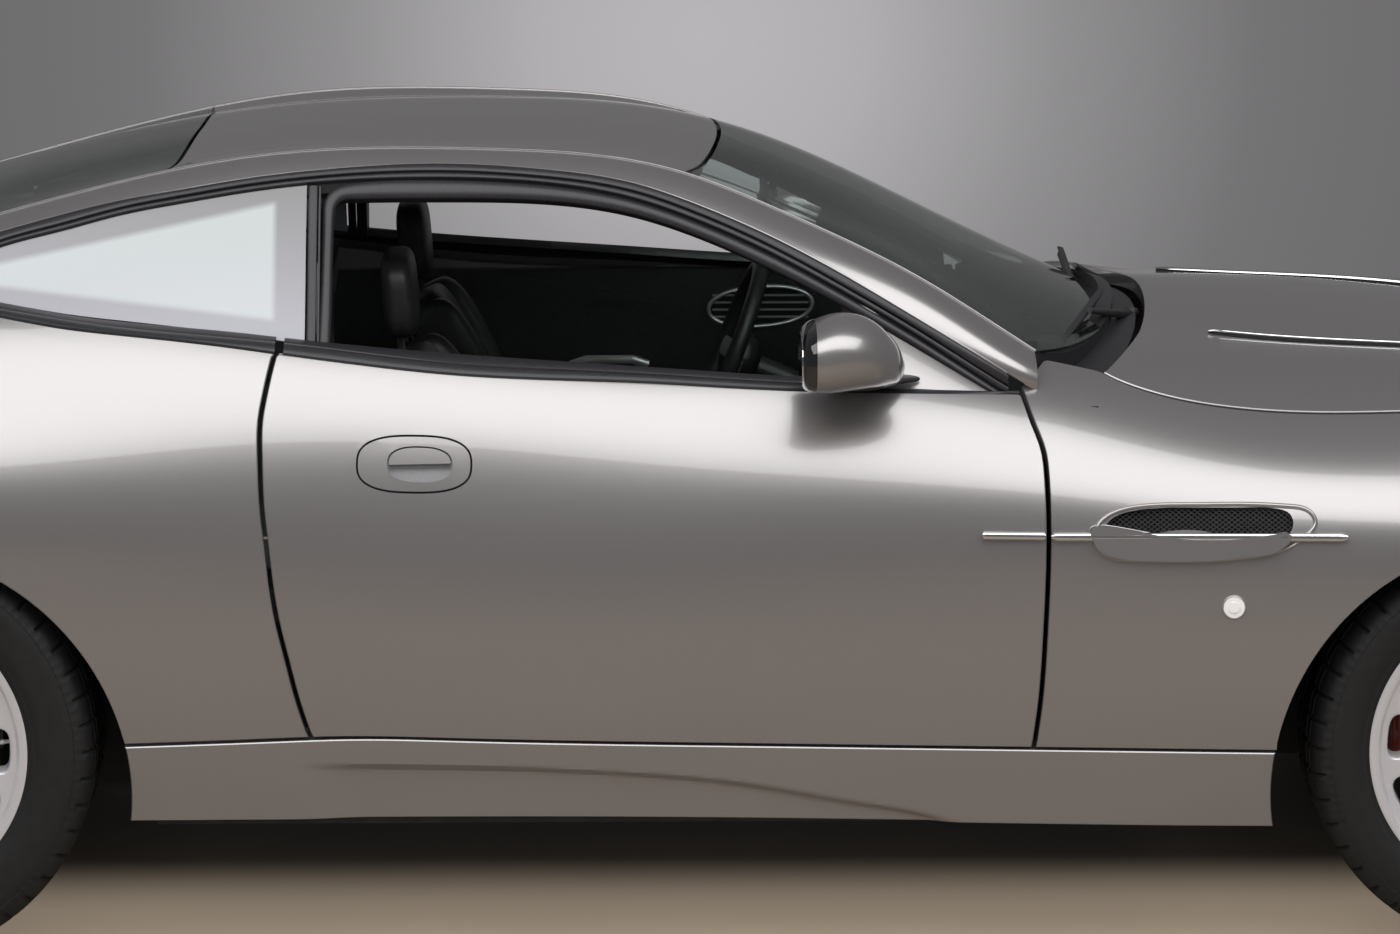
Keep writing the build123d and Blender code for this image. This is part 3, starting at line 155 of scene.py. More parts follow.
def quarter_material():
    """Side glass with a painted reflection: a pale painted highlight with soft edges inside a grey border,
    both darker towards the top.
    """
    mat = node_material("quarter_pane", (0.4, 0.4, 0.42), 0.12, **{"Coat Weight": 0.6})
    nodes, links = mat.node_tree.nodes, mat.node_tree.links
    shader = nodes["Principled BSDF"]
    place = nodes.new("ShaderNodeTexCoord")
    # each edge of the painted reflection: the direction in x and z that points inwards, and where its half
    # tone lies
    edges = (((-1.0, 0.0, 0.0), 0.629), ((0.115, 0.0, 0.993), 0.957), ((0.203, 0.0, -0.979), -1.327))
    reflection_field = None
    for direction, start in edges:
        dot = nodes.new("ShaderNodeVectorMath")
        dot.operation = "DOT_PRODUCT"
        dot.inputs[1].default_value = direction
        links.new(place.outputs["Object"], dot.inputs[0])
        soft = nodes.new("ShaderNodeMapRange")
        soft.interpolation_type = "SMOOTHSTEP"
        soft.inputs["From Min"].default_value = start - 0.004
        soft.inputs["From Max"].default_value = start + 0.010
        links.new(dot.outputs["Value"], soft.inputs["Value"])
        if reflection_field is None:
            reflection_field = soft.outputs["Result"]
            continue
        both_edges = nodes.new("ShaderNodeMath")
        both_edges.operation = "MULTIPLY"
        links.new(reflection_field, both_edges.inputs[0])
        links.new(soft.outputs["Result"], both_edges.inputs[1])
        reflection_field = both_edges.outputs[0]
    parts = nodes.new("ShaderNodeSeparateXYZ")
    links.new(place.outputs["Object"], parts.inputs[0])
    # the grey border and the painted reflection are both painted darker towards the top
    ramps = []
    for low, high in (((0.27, 0.27, 0.30), (0.13, 0.127, 0.13)), ((0.40, 0.42, 0.44), (0.33, 0.36, 0.36))):
        ramp = nodes.new("ShaderNodeMix")
        ramp.data_type = "RGBA"
        fade = nodes.new("ShaderNodeMapRange")
        fade.inputs["From Min"].default_value = 1.03
        fade.inputs["From Max"].default_value = 1.24
        links.new(parts.outputs["Z"], fade.inputs["Value"])
        links.new(fade.outputs["Result"], ramp.inputs["Factor"])
        ramp.inputs[6].default_value = (*low, 1)
        ramp.inputs[7].default_value = (*high, 1)
        ramps.append(ramp.outputs[2])
    blend = nodes.new("ShaderNodeMix")
    blend.data_type = "RGBA"
    links.new(reflection_field, blend.inputs["Factor"])
    links.new(ramps[0], blend.inputs[6])
    links.new(ramps[1], blend.inputs[7])
    links.new(blend.outputs[2], shader.inputs["Base Color"])
    return mat


# side glass whose colour holds a painted reflection in a grey border
MATERIALS["quarter_pane"] = quarter_material()

# the record's material for each look that the record doesn't name
for node in frame["record"]["subparts"]:
    cad_object = frame["nodes"][node["node"]]
    for material_slot in cad_object.material_slots:
        material_slot.material = MATERIALS[node["material_slot"]]

# ---------------------------------------------------------------- splines and the body's master surfaces


class Spline:
    """A natural cubic spline through rows of values at rising knots."""

    def __init__(self, knots, values):
        self.k, self.v = np.asarray(knots, float), np.asarray(values, float)
        size = len(self.k)
        lhs, rhs = np.eye(size), np.zeros_like(self.v)
        for i in range(1, size - 1):
            before, after = self.k[i] - self.k[i - 1], self.k[i + 1] - self.k[i]
            lhs[i, i - 1:i + 2] = before, 2 * (before + after), after
            rhs[i] = 6 * ((self.v[i + 1] - self.v[i]) / after - (self.v[i] - self.v[i - 1]) / before)
        self.m = np.linalg.solve(lhs, rhs)

    def __call__(self, t):
        t = np.asarray(t, float)
        i = np.clip(np.searchsorted(self.k, t) - 1, 0, len(self.k) - 2)
        h = self.k[i + 1] - self.k[i]
        a, b = (self.k[i + 1] - t) / h, (t - self.k[i]) / h
        if self.v.ndim > 1:
            a, b, h = a[..., None], b[..., None], h[..., None]
        return a * self.v[i] + b * self.v[i + 1] + ((a**3 - a) * self.m[i] + (b**3 - b)
                                                    * self.m[i + 1]) * h * h / 6


class Loft:
    """A surface through half sections, each a run of (y, z) points from the bottom to the car's centre."""

    def __init__(self, xs, sections, marks):
        sections = np.asarray(sections, float)
        self.count = sections.shape[1]
        self.along = Spline(xs, sections.reshape(len(xs), -1))
        marks = np.asarray(marks, float)
        self.top = marks[-1]
        whole = np.concatenate([marks, 2 * marks[-1] - marks[-2::-1]])
        self.basis = Spline(whole, np.eye(len(whole)))

    def yz(self, x, v):
        x, v = np.broadcast_arrays(np.asarray(x, float), np.asarray(v, float))
        shape = x.shape
        half = self.along(x.ravel()).reshape(-1, self.count, 2)
        other = half[:, -2::-1] * np.array([-1.0, 1.0])
        whole = np.concatenate([half, other], axis=1)
        out = np.einsum("nk,nkc->nc", self.basis(v.ravel()), whole)
        return out.reshape(shape + (2,))

    def find(self, x, wanted, axis, low=0.0, high=None):
        """The v at which the section at x has the wanted y (axis 0, falling) or z (axis 1, rising)."""
        x, wanted = np.broadcast_arrays(np.asarray(x, float), np.asarray(wanted, float))
        low = np.full(x.shape, float(low))
        high = np.full(x.shape, float(self.top if high is None else high))
        for _ in range(34):
            middle = (low + high) / 2
            value = self.yz(x, middle)[..., axis]
            short = value < wanted if axis else value > wanted
            low, high = np.where(short, middle, low), np.where(short, high, middle)
        return (low + high) / 2

    def points(self, x, v, side):
        """World points on the side given: -1 is the car's right."""
        yz = self.yz(x, v)
        x = np.broadcast_to(np.asarray(x, float), yz.shape[:-1])
        return np.stack([x, side * yz[..., 0], yz[..., 1]], axis=-1)


REAR_AXLE_X, FRONT_AXLE_X = -1277.5, 1412.5
BODY_SECTIONS = (
    # x, bottom half, bottom z, widest half, widest z, shoulder half, shoulder z, edge half, edge z, crown z
    (-2330, 560, 360, 660, 600, 640, 740, 540, 838, 868),
    (-2230, 690, 290, 785, 620, 762, 780, 640, 888, 925),
    (-2050, 790, 250, 880, 640, 850, 830, 700, 930, 958),
    (-1750, 840, 232, 935, 650, 905, 845, 740, 965, 1000),
    (REAR_AXLE_X, 870, 226, 961, 650, 930, 850, 770, 1050, 1085),
    (-640, 880, 228, 930, 640, 905, 830, 812, 1000, 1035),
    (0, 882, 226, 926, 620, 900, 800, 812, 950, 985),
    (620, 880, 214, 919, 620, 890, 795, 775, 925, 1000),
    (1000, 875, 207, 932, 610, 895, 775, 757, 881, 993),
    (FRONT_AXLE_X, 862, 200, 945, 590, 908, 760, 757, 880, 955),
    (1800, 830, 190, 915, 520, 880, 700, 745, 822, 880),
    (2050, 765, 195, 850, 470, 815, 630, 690, 735, 795),
    (2240, 620, 225, 705, 440, 675, 570, 560, 650, 700),
    (2330, 430, 320, 520, 460, 495, 545, 420, 600, 625),
)
BODY_MARKS = (0, 200, 400, 600, 770, 1150, 1540)
SHOULDER_MARK, EDGE_MARK, SIDE_TOP = 600, 770, 1150


def body_half_section(row):
    """Section points from the sill's bottom to the centre, the last arc crowned between the edges."""
    _, bottom, bottom_z, wide, wide_z, shoulder, shoulder_z, edge, edge_z, crown = row
    middle_z = crown - (crown - edge_z) * 0.25
    out, up = wide - bottom, wide_z - bottom_z
    belly = (wide - 0.18 * out * up**2 / (out**2 + up**2), (bottom_z + wide_z) / 2)
    return [(bottom, bottom_z), belly, (wide, wide_z), (shoulder, shoulder_z), (edge, edge_z),
            (edge / 2, middle_z),
            (0, crown)]


BODY = Loft([row[0] for row in BODY_SECTIONS], [body_half_section(row) for row in BODY_SECTIONS],
            BODY_MARKS)

CABIN_SECTIONS = (
    # x, base half, base z, roof edge half, roof edge z, crown z
    (-1850, 700, 780, 640, 900, 955),
    (-1500, 770, 900, 665, 1050, 1100),
    (-1087.5, 815, 900, 640, 1178, 1226),
    (-666, 826, 900, 598, 1272, 1302),
    (-268, 826, 900, 588, 1279, 1318),
    (46, 818, 900, 608, 1240, 1294),
    (208, 812, 900, 645, 1180, 1250),
    (441, 800, 880, 695, 1078, 1145),
    (640, 770, 860, 735, 962, 1050),
    (860, 420, 820, 380, 935, 955),
)
CABIN_MARKS = (0, 200, 400, 560, 760, 980)


def cabin_half_section(row):
    """Section points of the glasshouse from its base to the centre of the roof."""
    _, base, base_z, roof, roof_z, crown = row
    drop = crown - roof_z
    wall = ((base + roof) / 2 + 7, (base_z + roof_z) / 2)
    return [(base, base_z), wall, (roof, roof_z), (0.74 * roof, crown - 0.55 * drop),
            (0.38 * roof, crown - 0.145 * drop),
            (0, crown)]


CABIN = Loft([row[0] for row in CABIN_SECTIONS], [cabin_half_section(row) for row in CABIN_SECTIONS],
             CABIN_MARKS)


def line(points):
    """A smooth curve through points as a function of t from 0 to 1, spaced by chord length."""
    points = np.asarray(points, float)
    steps = np.linalg.norm(np.diff(points, axis=0), axis=1)
    knots = np.concatenate([[0], np.cumsum(steps)])
    return Spline(knots / knots[-1], points)


def height(points):
    """The same kind of curve as z at a given x; points run either way along x."""
    points = sorted(points)
    return Spline([p[0] for p in points], [p[1] for p in points])


def even(count, ends=0.0):
    """Count + 1 values from 0 to 1, drawn towards both ends by the amount given."""
    t = np.linspace(0, 1, count + 1)
    return t + ends * np.sin(2 * np.pi * t) * -0.5 / np.pi


def coons(bottom, top, left, right):
    """A grid between four runs of 2-D points; left and right run from bottom to top."""
    nu, nv = len(bottom), len(left)
    u, v = np.linspace(0, 1, nu)[:, None, None], np.linspace(0, 1, nv)[None, :, None]
    ruled_v = (1 - v) * bottom[:, None] + v * top[:, None]
    ruled_u = (1 - u) * left[None] + u * right[None]
    corners = ((1 - u) * (1 - v) * bottom[0] + u * (1 - v) * bottom[-1] + (1 - u) * v * top[0] + u * v
               * top[-1])
    return ruled_v + ruled_u - corners


def smooth_step(value, start, end):
    """0 before start, 1 after end, eased between."""
    t = np.clip((value - start) / (end - start), 0, 1)
    return t * t * (3 - 2 * t)


def strips(bottoms, tops, columns):
    """One grid from four-sided patches side by side that share the columns between them."""
    grids = []
    for k, (bottom, top) in enumerate(zip(bottoms, tops)):
        left, right = columns[k].copy(), columns[k + 1].copy()
        left[0], left[-1], right[0], right[-1] = bottom[0], top[0], bottom[-1], top[-1]
        grids.append(coons(bottom, top, left, right)[0 if k == 0 else 1:])
    return np.concatenate(grids)


def grid_normals(grid):
    """Unit normals of a grid of points, from its own differences."""
    across = np.cross(np.gradient(grid, axis=0), np.gradient(grid, axis=1))
    return across / np.maximum(np.linalg.norm(across, axis=-1, keepdims=True), 1e-9)


# ---------------------------------------------------------------- making pieces


def finish_mesh(name, verts, faces, material, body, replaced=(), smooth=32):
    """A mesh piece from millimetre points, with its material, its body and the CAD nodes it stands for."""
    mesh = bpy.data.meshes.new(name)
    mesh.from_pydata([tuple(float(c) * MM for c in v) for v in verts], [],
                     [tuple(int(i) for i in f) for f in faces])
    mesh.validate()
    mesh.update()
    for polygon in mesh.polygons:
        polygon.use_smooth = True
    mesh.set_sharp_from_angle(angle=math.radians(smooth))
    piece = bpy.data.objects.new(name, mesh)
    bpy.context.scene.collection.objects.link(piece)
    mesh.materials.append(MATERIALS[material])
    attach(piece, body)
    if replaced:
        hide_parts(*replaced)
    return piece


def shell(grid, depth, facing, roll=1.6, inner=None):
    """Vertices and faces of a panel: the grid, a small chamfer round it, walls and an inner face."""
    grid = np.asarray(grid, float)
    normals = grid_normals(grid)
    if np.sum(normals[normals.shape[0] // 2, normals.shape[1] // 2] * np.asarray(facing)) < 0:
        grid = grid[::-1]
        normals = grid_normals(grid)
        if inner is not None:
            inner = inner[::-1]
    nu, nv = grid.shape[:2]
    if inner is None:
        inner = grid - normals * depth
    ring = [(i, 0) for i in range(nu)] + [(nu - 1, j) for j in range(1, nv)]
    ring += [(i, nv - 1) for i in range(nu - 2, -1, -1)] + [(0, j) for j in range(nv - 2, 0, -1)]
    outer = grid.copy()
    for i, j in ring:
        step = np.zeros(3)
        if i in (0, nu - 1):
            inward = grid[1 if i == 0 else nu - 2, j] - grid[i, j]
            step += inward / max(np.linalg.norm(inward), 1e-9)
        if j in (0, nv - 1):
            inward = grid[i, 1 if j == 0 else nv - 2] - grid[i, j]
            step += inward / max(np.linalg.norm(inward), 1e-9)
        outer[i, j] = grid[i, j] + step * roll
    verts = [tuple(p) for p in outer.reshape(-1, 3)]

    def index(i, j):
        return i * nv + j

    faces = [(index(i, j), index(i + 1, j), index(i + 1, j + 1), index(i, j + 1))
             for i in range(nu - 1) for j in range(nv - 1)]
    start = len(verts)
    verts += [tuple(grid[i, j] - normals[i, j] * roll) for i, j in ring]
    base = len(verts)
    verts += [tuple(p) for p in inner.reshape(-1, 3)]
    count = len(ring)
    for k in range(count):
        a, b = ring[k], ring[(k + 1) % count]
        ka, kb = start + k, start + (k + 1) % count
        faces.append((index(*b), index(*a), ka, kb))
        faces.append((kb, ka, base + index(*a), base + index(*b)))
    faces += [(base + index(i, j + 1), base + index(i + 1, j + 1), base + index(i + 1, j),
               base + index(i, j))
              for i in range(nu - 1) for j in range(nv - 1)]
    return outward(verts, faces)


def joined(*parts):
    """Several (verts, faces) lists as one."""
    verts, faces = [], []
    for part_verts, part_faces in parts:
        shift = len(verts)
        verts += part_verts
        faces += [tuple(i + shift for i in face) for face in part_faces]
    return verts, faces


def mirrored(part):
    """The part on the car's other side."""
    verts, faces = part
    return [(x, -y, z) for x, y, z in verts], [face[::-1] for face in faces]


def sweep(path, profile, ups=None, closed=False):
    """A profile of (across, up) points carried along a path of points; up follows the given directions."""
    path = np.asarray(path, float)
    tangents = np.gradient(path, axis=0)
    tangents /= np.linalg.norm(tangents, axis=1, keepdims=True)
    ups = np.broadcast_to(np.asarray(ups if ups is not None else (0, 0, 1), float), path.shape)
    across = np.cross(tangents, ups)
    across /= np.linalg.norm(across, axis=1, keepdims=True)
    ups = np.cross(across, tangents)
    count = len(profile)
    verts, faces = [], []
    for p, a, u in zip(path, across, ups):
        verts += [tuple(p + a * s + u * t) for s, t in profile]
    rings = len(path)
    for i in range(rings if closed else rings - 1):
        n = (i + 1) % rings
        for k in range(count):
            m = (k + 1) % count
            faces.append((i * count + k, i * count + m, n * count + m, n * count + k))
    if not closed:
        faces.append(tuple(range(count))[::-1])
        faces.append(tuple((rings - 1) * count + k for k in range(count)))
    return verts, faces


def round_profile(width, height_, steps=12, power=2.0):
    """A closed oval profile, squarer for a higher power."""
    turn = np.linspace(0, 2 * np.pi, steps, endpoint=False)
    c, s = np.cos(turn), np.sin(turn)
    return [(width / 2 * math.copysign(abs(a) ** (2 / power), a),
             height_ / 2 * math.copysign(abs(b) ** (2 / power), b))
            for a, b in zip(c, s)]


def side_points(loft, xz, off=0.0):
    """Points on the near side of a loft from (x, z) pairs, moved outwards along its normal."""
    xz = np.asarray(xz, float)
    x, z = xz[..., 0], xz[..., 1]
    top = SIDE_TOP if loft is BODY else CABIN_MARKS[3] + 60

    def half(px, pz):
        return loft.yz(px, loft.find(px, pz, 1, 0, top))[..., 0]

    y = half(x, z)
    along, up = (half(x + 2, z) - half(x - 2, z)) / 4, (half(x, z + 2) - half(x, z - 2)) / 4
    normal = unit(np.stack([-along, -np.ones_like(along), -up], axis=-1))
    return np.stack([x, -y, z], axis=-1) + normal * off


def ridge(low, high, rise, sink=3.0, steps=8, power=2.4):
    """A raised bead between two runs of points on the near side; its face bulges outwards by rise."""
    low, high = np.asarray(low, float), np.asarray(high, float)
    across = high - low
    normal = unit(np.cross(np.gradient((low + high) / 2, axis=0), across))
    middle = len(normal) // 2
    if normal[middle, 1] - 0.5 * normal[middle, 2] > 0:
        normal = -normal
    s = (1 - np.cos(np.linspace(0, np.pi, steps + 1))) / 2
    bulge = rise * (1 - np.abs(2 * s - 1) ** power) ** (1 / power)
    front = low[:, None] + across[:, None] * s[None, :, None] + normal[:, None] * bulge[None, :, None]
    back = low[:, None] + across[:, None] * s[None, :, None] - normal[:, None] * sink
    return closed_shell(front, back)


def closed_shell(front, back):
    """Vertices and faces of a closed piece between two grids."""
    nu, nv = front.shape[:2]
    verts = [tuple(p) for p in front.reshape(-1, 3)] + [tuple(p) for p in back.reshape(-1, 3)]
    base = nu * nv

    def index(i, j):
        return i * nv + j

    faces = []
    for i in range(nu - 1):
        for j in range(nv - 1):
            quad = (index(i, j), index(i + 1, j), index(i + 1, j + 1), index(i, j + 1))
            faces += [quad, tuple(base + k for k in quad[::-1])]
    ring = [(i, 0) for i in range(nu)] + [(nu - 1, j) for j in range(1, nv)]
    ring += [(i, nv - 1) for i in range(nu - 2, -1, -1)] + [(0, j) for j in range(nv - 2, 0, -1)]
    for k, a in enumerate(ring):
        b = ring[(k + 1) % len(ring)]
        faces.append((index(*b), index(*a), base + index(*a), base + index(*b)))
    return outward(verts, faces)


def outward(verts, faces):
    """The same closed piece with its faces turned outwards, by its signed volume."""
    points = np.asarray(verts, float)
    fans = np.array([(face[0], face[k], face[k + 1]) for face in faces for k in range(1, len(face) - 1)])
    a, b, c = points[fans[:, 0]], points[fans[:, 1]], points[fans[:, 2]]
    volume = np.sum(a * np.cross(b, c))
    return verts, [f[::-1] for f in faces] if volume < 0 else faces


def oval(centre, half_wide, half_high, count=48, power=2.0, tilt=0.0):
    """A closed run of (x, z) points; a higher power squares it off."""
    turn = np.linspace(0, 2 * np.pi, count, endpoint=False)
    c, s = np.cos(turn), np.sin(turn)
    u = half_wide * np.sign(c) * np.abs(c) ** (2 / power)
    w = half_high * np.sign(s) * np.abs(s) ** (2 / power)
    a = math.radians(tilt)
    return np.stack([centre[0] + u * math.cos(a) - w * math.sin(a),
                     centre[1] + u * math.sin(a) + w * math.cos(a)], axis=-1)


def closed_run(points, count=96):
    """A closed smooth run through corner points, evenly spaced."""
    points = np.asarray(points, float)
    looped = np.concatenate([points[-2:], points, points[:3]])
    dense = line(looped)(np.linspace(0, 1, 900))
    first = np.argmin(np.linalg.norm(dense[:450] - points[0], axis=1))
    last = 450 + np.argmin(np.linalg.norm(dense[450:] - points[0], axis=1))
    return run(dense[first:last + 1], count + 1)[:-1]


def inlay(outline, place, off, depth, rings=5):
    """A thin plate over a closed (x, z) outline, laid on a surface by place(points, off)."""
    outline = np.asarray(outline, float)
    centre = outline.mean(axis=0)
    scales = np.linspace(1, 0, rings + 1)[:-1]
    verts, faces = [], []
    count = len(outline)
    for level, sign in ((off, 1), (off - depth, -1)):
        start = len(verts)
        for scale in scales:
            verts += [tuple(p) for p in place(centre + (outline - centre) * scale, level)]
        verts.append(tuple(place(centre[None], level)[0]))
        for r in range(rings - 1):
            for k in range(count):
                a, b = start + r * count + k, start + r * count + (k + 1) % count
                faces.append((a, b, b + count, a + count)[::sign])
        last = start + (rings - 1) * count
        for k in range(count):
            faces.append((last + k, last + (k + 1) % count, start + rings * count)[::sign])
    lower = rings * count + 1
    for k in range(count):
        m = (k + 1) % count
        faces.append((m, k, lower + k, lower + m))
    return outward(verts, faces)


def loop_bead(outline, place, width, rise, sink=3.0, steps=6, off=0.0):
    """A raised ring along a closed (x, z) outline, standing inside it by its width."""
    outline = np.asarray(outline, float)
    tangent = np.roll(outline, -1, axis=0) - np.roll(outline, 1, axis=0)
    inward = unit(np.stack([-tangent[:, 1], tangent[:, 0]], axis=-1))
    centre = outline.mean(axis=0)
    if np.sum((centre - outline[0]) * inward[0]) < 0:
        inward = -inward
    count = len(outline)
    s = (1 - np.cos(np.linspace(0, np.pi, steps + 1))) / 2
    bulge = rise * np.sqrt(np.maximum(0, 1 - (2 * s - 1) ** 2))
    verts, faces = [], []
    rows = [place(outline + inward * width * a, off + h) for a, h in zip(s, bulge)]
    rows += [place(outline + inward * width * a, off - sink) for a in s[::-1]]
    for row in rows:
        verts += [tuple(p) for p in row]
    total = len(rows)
    for r in range(total):
        n = (r + 1) % total
        for k in range(count):
            m = (k + 1) % count
            faces.append((r * count + k, r * count + m, n * count + m, n * count + k))
    return outward(verts, faces)


def prism(outline, y_from, y_to):
    """A straight prism over a closed (x, z) outline between two y values."""
    count = len(outline)
    verts = [(x, y_from, z) for x, z in outline] + [(x, y_to, z) for x, z in outline]
    faces = [tuple(range(count)), tuple(range(2 * count - 1, count - 1, -1))]
    faces += [(k, (k + 1) % count, count + (k + 1) % count, count + k)[::-1] for k in range(count)]
    return outward(verts, faces)


def carve(piece, part):
    """Cuts a closed part out of a finished piece."""
    verts, faces = part
    mesh = bpy.data.meshes.new("cutter")
    mesh.from_pydata([tuple(float(c) * MM for c in v) for v in verts], [],
                     [tuple(int(i) for i in f) for f in faces])
    cutter = bpy.data.objects.new("cutter", mesh)
    bpy.context.scene.collection.objects.link(cutter)
    cut = piece.modifiers.new("cut", "BOOLEAN")
    cut.operation = "DIFFERENCE"
    cut.solver = "EXACT"
    cut.object = cutter
    bpy.context.view_layer.update()
    result = bpy.data.meshes.new_from_object(piece.evaluated_get(bpy.context.evaluated_depsgraph_get()))
    piece.modifiers.remove(cut)
    old = piece.data
    piece.data = result
    bpy.data.meshes.remove(old)
    bpy.data.objects.remove(cutter)
    bpy.data.meshes.remove(mesh)
    result.set_sharp_from_angle(angle=math.radians(28))


def lathe(profile, centre, steps, side=1, shape=None):
    """A closed profile of (radius, y outwards) turned about the wheel's axle."""
    profile = np.asarray(profile, float)
    turn = np.linspace(0, 2 * np.pi, steps, endpoint=False)
    radius = np.broadcast_to(profile[None, :, 0], (steps, len(profile))).copy()
    if shape is not None:
        radius += shape(turn[:, None], profile[None, :, 0], profile[None, :, 1])
    x = centre[0] + radius * np.cos(turn)[:, None]
    z = centre[2] + radius * np.sin(turn)[:, None]
    y = np.broadcast_to(centre[1] + side * profile[None, :, 1], radius.shape)
    verts = [tuple(p) for p in np.stack([x, y, z], axis=-1).reshape(-1, 3)]
    count = len(profile)
    faces = []
    for i in range(steps):
        n = (i + 1) % steps
        for k in range(count):
            m = (k + 1) % count
            faces.append((i * count + k, i * count + m, n * count + m, n * count + k))
    return outward(verts, faces)


def rod(start, end, radius, sides=8, end_radius=None):
    """A closed round bar between two points."""
    start, end = np.asarray(start, float), np.asarray(end, float)
    axis = unit(end - start)
    side = unit(np.cross(axis, (0.31, 0.17, 0.93)))
    other = np.cross(axis, side)
    turn = np.linspace(0, 2 * np.pi, sides, endpoint=False)[:, None]
    ring = np.cos(turn) * side + np.sin(turn) * other
    far = radius if end_radius is None else end_radius
    verts = [tuple(p) for p in start + ring * radius] + [tuple(p) for p in end + ring * far]
    faces = [tuple(range(sides)), tuple(range(2 * sides - 1, sides - 1, -1))]
    faces += [(k, (k + 1) % sides, sides + (k + 1) % sides, sides + k)[::-1] for k in range(sides)]
    return outward(verts, faces)


def block(low, high, chamfer=2.0):
    """A box with chamfered edges."""
    low, high = np.asarray(low, float), np.asarray(high, float)
    middle, half = (low + high) / 2, (high - low) / 2
    chamfer = min(chamfer, half.min() * 0.8)
    verts, index = [], {}
    for sx in (-1, 1):
        for sy in (-1, 1):
            for sz in (-1, 1):
                for axis in range(3):
                    corner = np.array([sx, sy, sz]) * (half - chamfer)
                    corner[axis] = (sx, sy, sz)[axis] * half[axis]
                    index[sx, sy, sz, axis] = len(verts)
                    verts.append(tuple(middle + corner))
    faces = []
    signs = (-1, 1)
    for axis in range(3):
        b, c = (axis + 1) % 3, (axis + 2) % 3
        for s in signs:
            quad = []
            for sb, sc in ((-1, -1), (1, -1), (1, 1), (-1, 1)):
                key = [0, 0, 0]
                key[axis], key[b], key[c] = s, sb, sc
                quad.append(index[(*key, axis)])
            faces.append(tuple(quad[::s]))
        for sb in signs:
            for sc in signs:
                ends = []
                for s in signs:
                    key = [0, 0, 0]
                    key[axis], key[b], key[c] = s, sb, sc
                    ends.append((index[(*key, b)], index[(*key, c)]))
                quad = (ends[0][0], ends[1][0], ends[1][1], ends[0][1])
                faces.append(quad[::sb * sc])
    for sx in signs:
        for sy in signs:
            for sz in signs:
                faces.append(tuple(index[sx, sy, sz, a] for a in range(3))[::sx * sy * sz])
    return outward(verts, faces)


def inside(outline, points):
    """Whether each (x, z) point lies inside a closed outline."""
    x, z = points[:, 0][:, None], points[:, 1][:, None]
    a, b = outline, np.roll(outline, -1, axis=0)
    crosses = (a[None, :, 1] > z) != (b[None, :, 1] > z)
    at = a[None, :, 0] + (z - a[None, :, 1]) / np.where(b[:, 1] == a[:, 1], 1e-9,
                                                        b[:, 1] - a[:, 1])[None] * (
        b[:, 0] - a[:, 0])[None]
    return np.sum(crosses & (x < at), axis=1) % 2 == 1


def lattice(outline, place, pitch, slope, width, off, thick):
    """Two families of slanting wires clipped to an outline, laid on a surface."""
    outline = np.asarray(outline, float)
    low, high = outline.min(axis=0), outline.max(axis=0)
    parts = []
    for lean in (slope, -slope):
        direction = np.array([math.cos(lean), math.sin(lean)])
        normal = np.array([-direction[1], direction[0]])
        centre = (low + high) / 2
        reach = np.linalg.norm(high - low) / 2
        for shift in np.arange(-reach, reach, pitch):
            t = np.linspace(-reach, reach, 120)[:, None]
            points = centre + normal * shift + direction * t
            kept = points[inside(outline, points)]
            if len(kept) > 3:
                track = run(kept[[0, len(kept) // 2, -1]], 5)
                parts.append(ridge(place(track - normal * width / 2, off),
                                   place(track + normal * width / 2, off),
                                   thick, 0.4, 2, 2.0))
    return joined(*parts)


def on_body(points, off=0.0):
    return side_points(BODY, points, off)


def on_cabin(points, off=0.0):
    return side_points(CABIN, points, off)


def both(part):
    """The part and its mirror image."""
    return joined(part, mirrored(part))


def pair(name, part, material, body="{}", replaced="", smooth=32):
    """Makes a right-hand piece and its left-hand mirror image on bodies named by side."""
    for side, shape in (("right", part), ("left", mirrored(part))):
        finish_mesh(f"{name}_{side}", *shape, material, body.format(side),
                    (replaced.format(side),) if replaced else (), smooth)


def unit(vectors):
    """The same directions at length one."""
    return vectors / np.maximum(np.linalg.norm(vectors, axis=-1, keepdims=True), 1e-12)


def spun(profile, origin, axis, steps=32):
    """A closed profile of (radius, distance along) turned about an axis through a point."""
    axis = unit(np.asarray(axis, float))
    side = unit(np.cross(axis, (0.13, 0.21, 0.97)))
    other = np.cross(axis, side)
    turn = np.linspace(0, 2 * np.pi, steps, endpoint=False)
    verts, count = [], len(profile)
    for t in turn:
        ring = math.cos(t) * side + math.sin(t) * other
        verts += [tuple(np.asarray(origin) + ring * r + axis * d) for r, d in profile]
    faces = [(i * count + k, i * count + (k + 1) % count, (i + 1) % steps * count + (k + 1) % count,
              (i + 1) % steps * count + k) for i in range(steps) for k in range(count)]
    return outward(verts, faces)


# ---------------------------------------------------------------- shut lines, in x and z on the near side
GAP_BACK, GAP_AHEAD = 3.0, 4.5
DOOR_FRONT_LINE = ((609, 349), (619, 435), (625, 543), (628, 628), (629, 712), (627, 804), (622, 845),
                   (611, 874),
                   (598, 912), (591, 931))
DOOR_REAR_LINE = ((-569, 374), (-589, 440), (-606, 512), (-617, 559), (-628, 623), (-636, 697), (-643, 766),
                  (-646, 842), (-646, 893), (-640, 930), (-629, 980), (-622, 1006))
BELT = height(((-1290, 1078), (-1180, 1067), (-1073, 1052), (-975, 1036), (-877, 1025), (-682, 1003),
               (-624, 995),
               (-500, 979), (-357, 963), (-200, 953), (-32, 946), (100, 938), (234, 931), (393, 926),
               (600, 920)))
SILL_SEAM = height(((-900, 366), (-640, 373), (-524, 376), (-344, 372), (74, 362), (555, 352), (1030, 345)))
ARCH_RADIUS, ARCH_Z = 419.0, 289.0
FRONT_ARCH_X, REAR_ARCH_X = FRONT_AXLE_X + 8, REAR_AXLE_X - 6
SEAM = 2.5


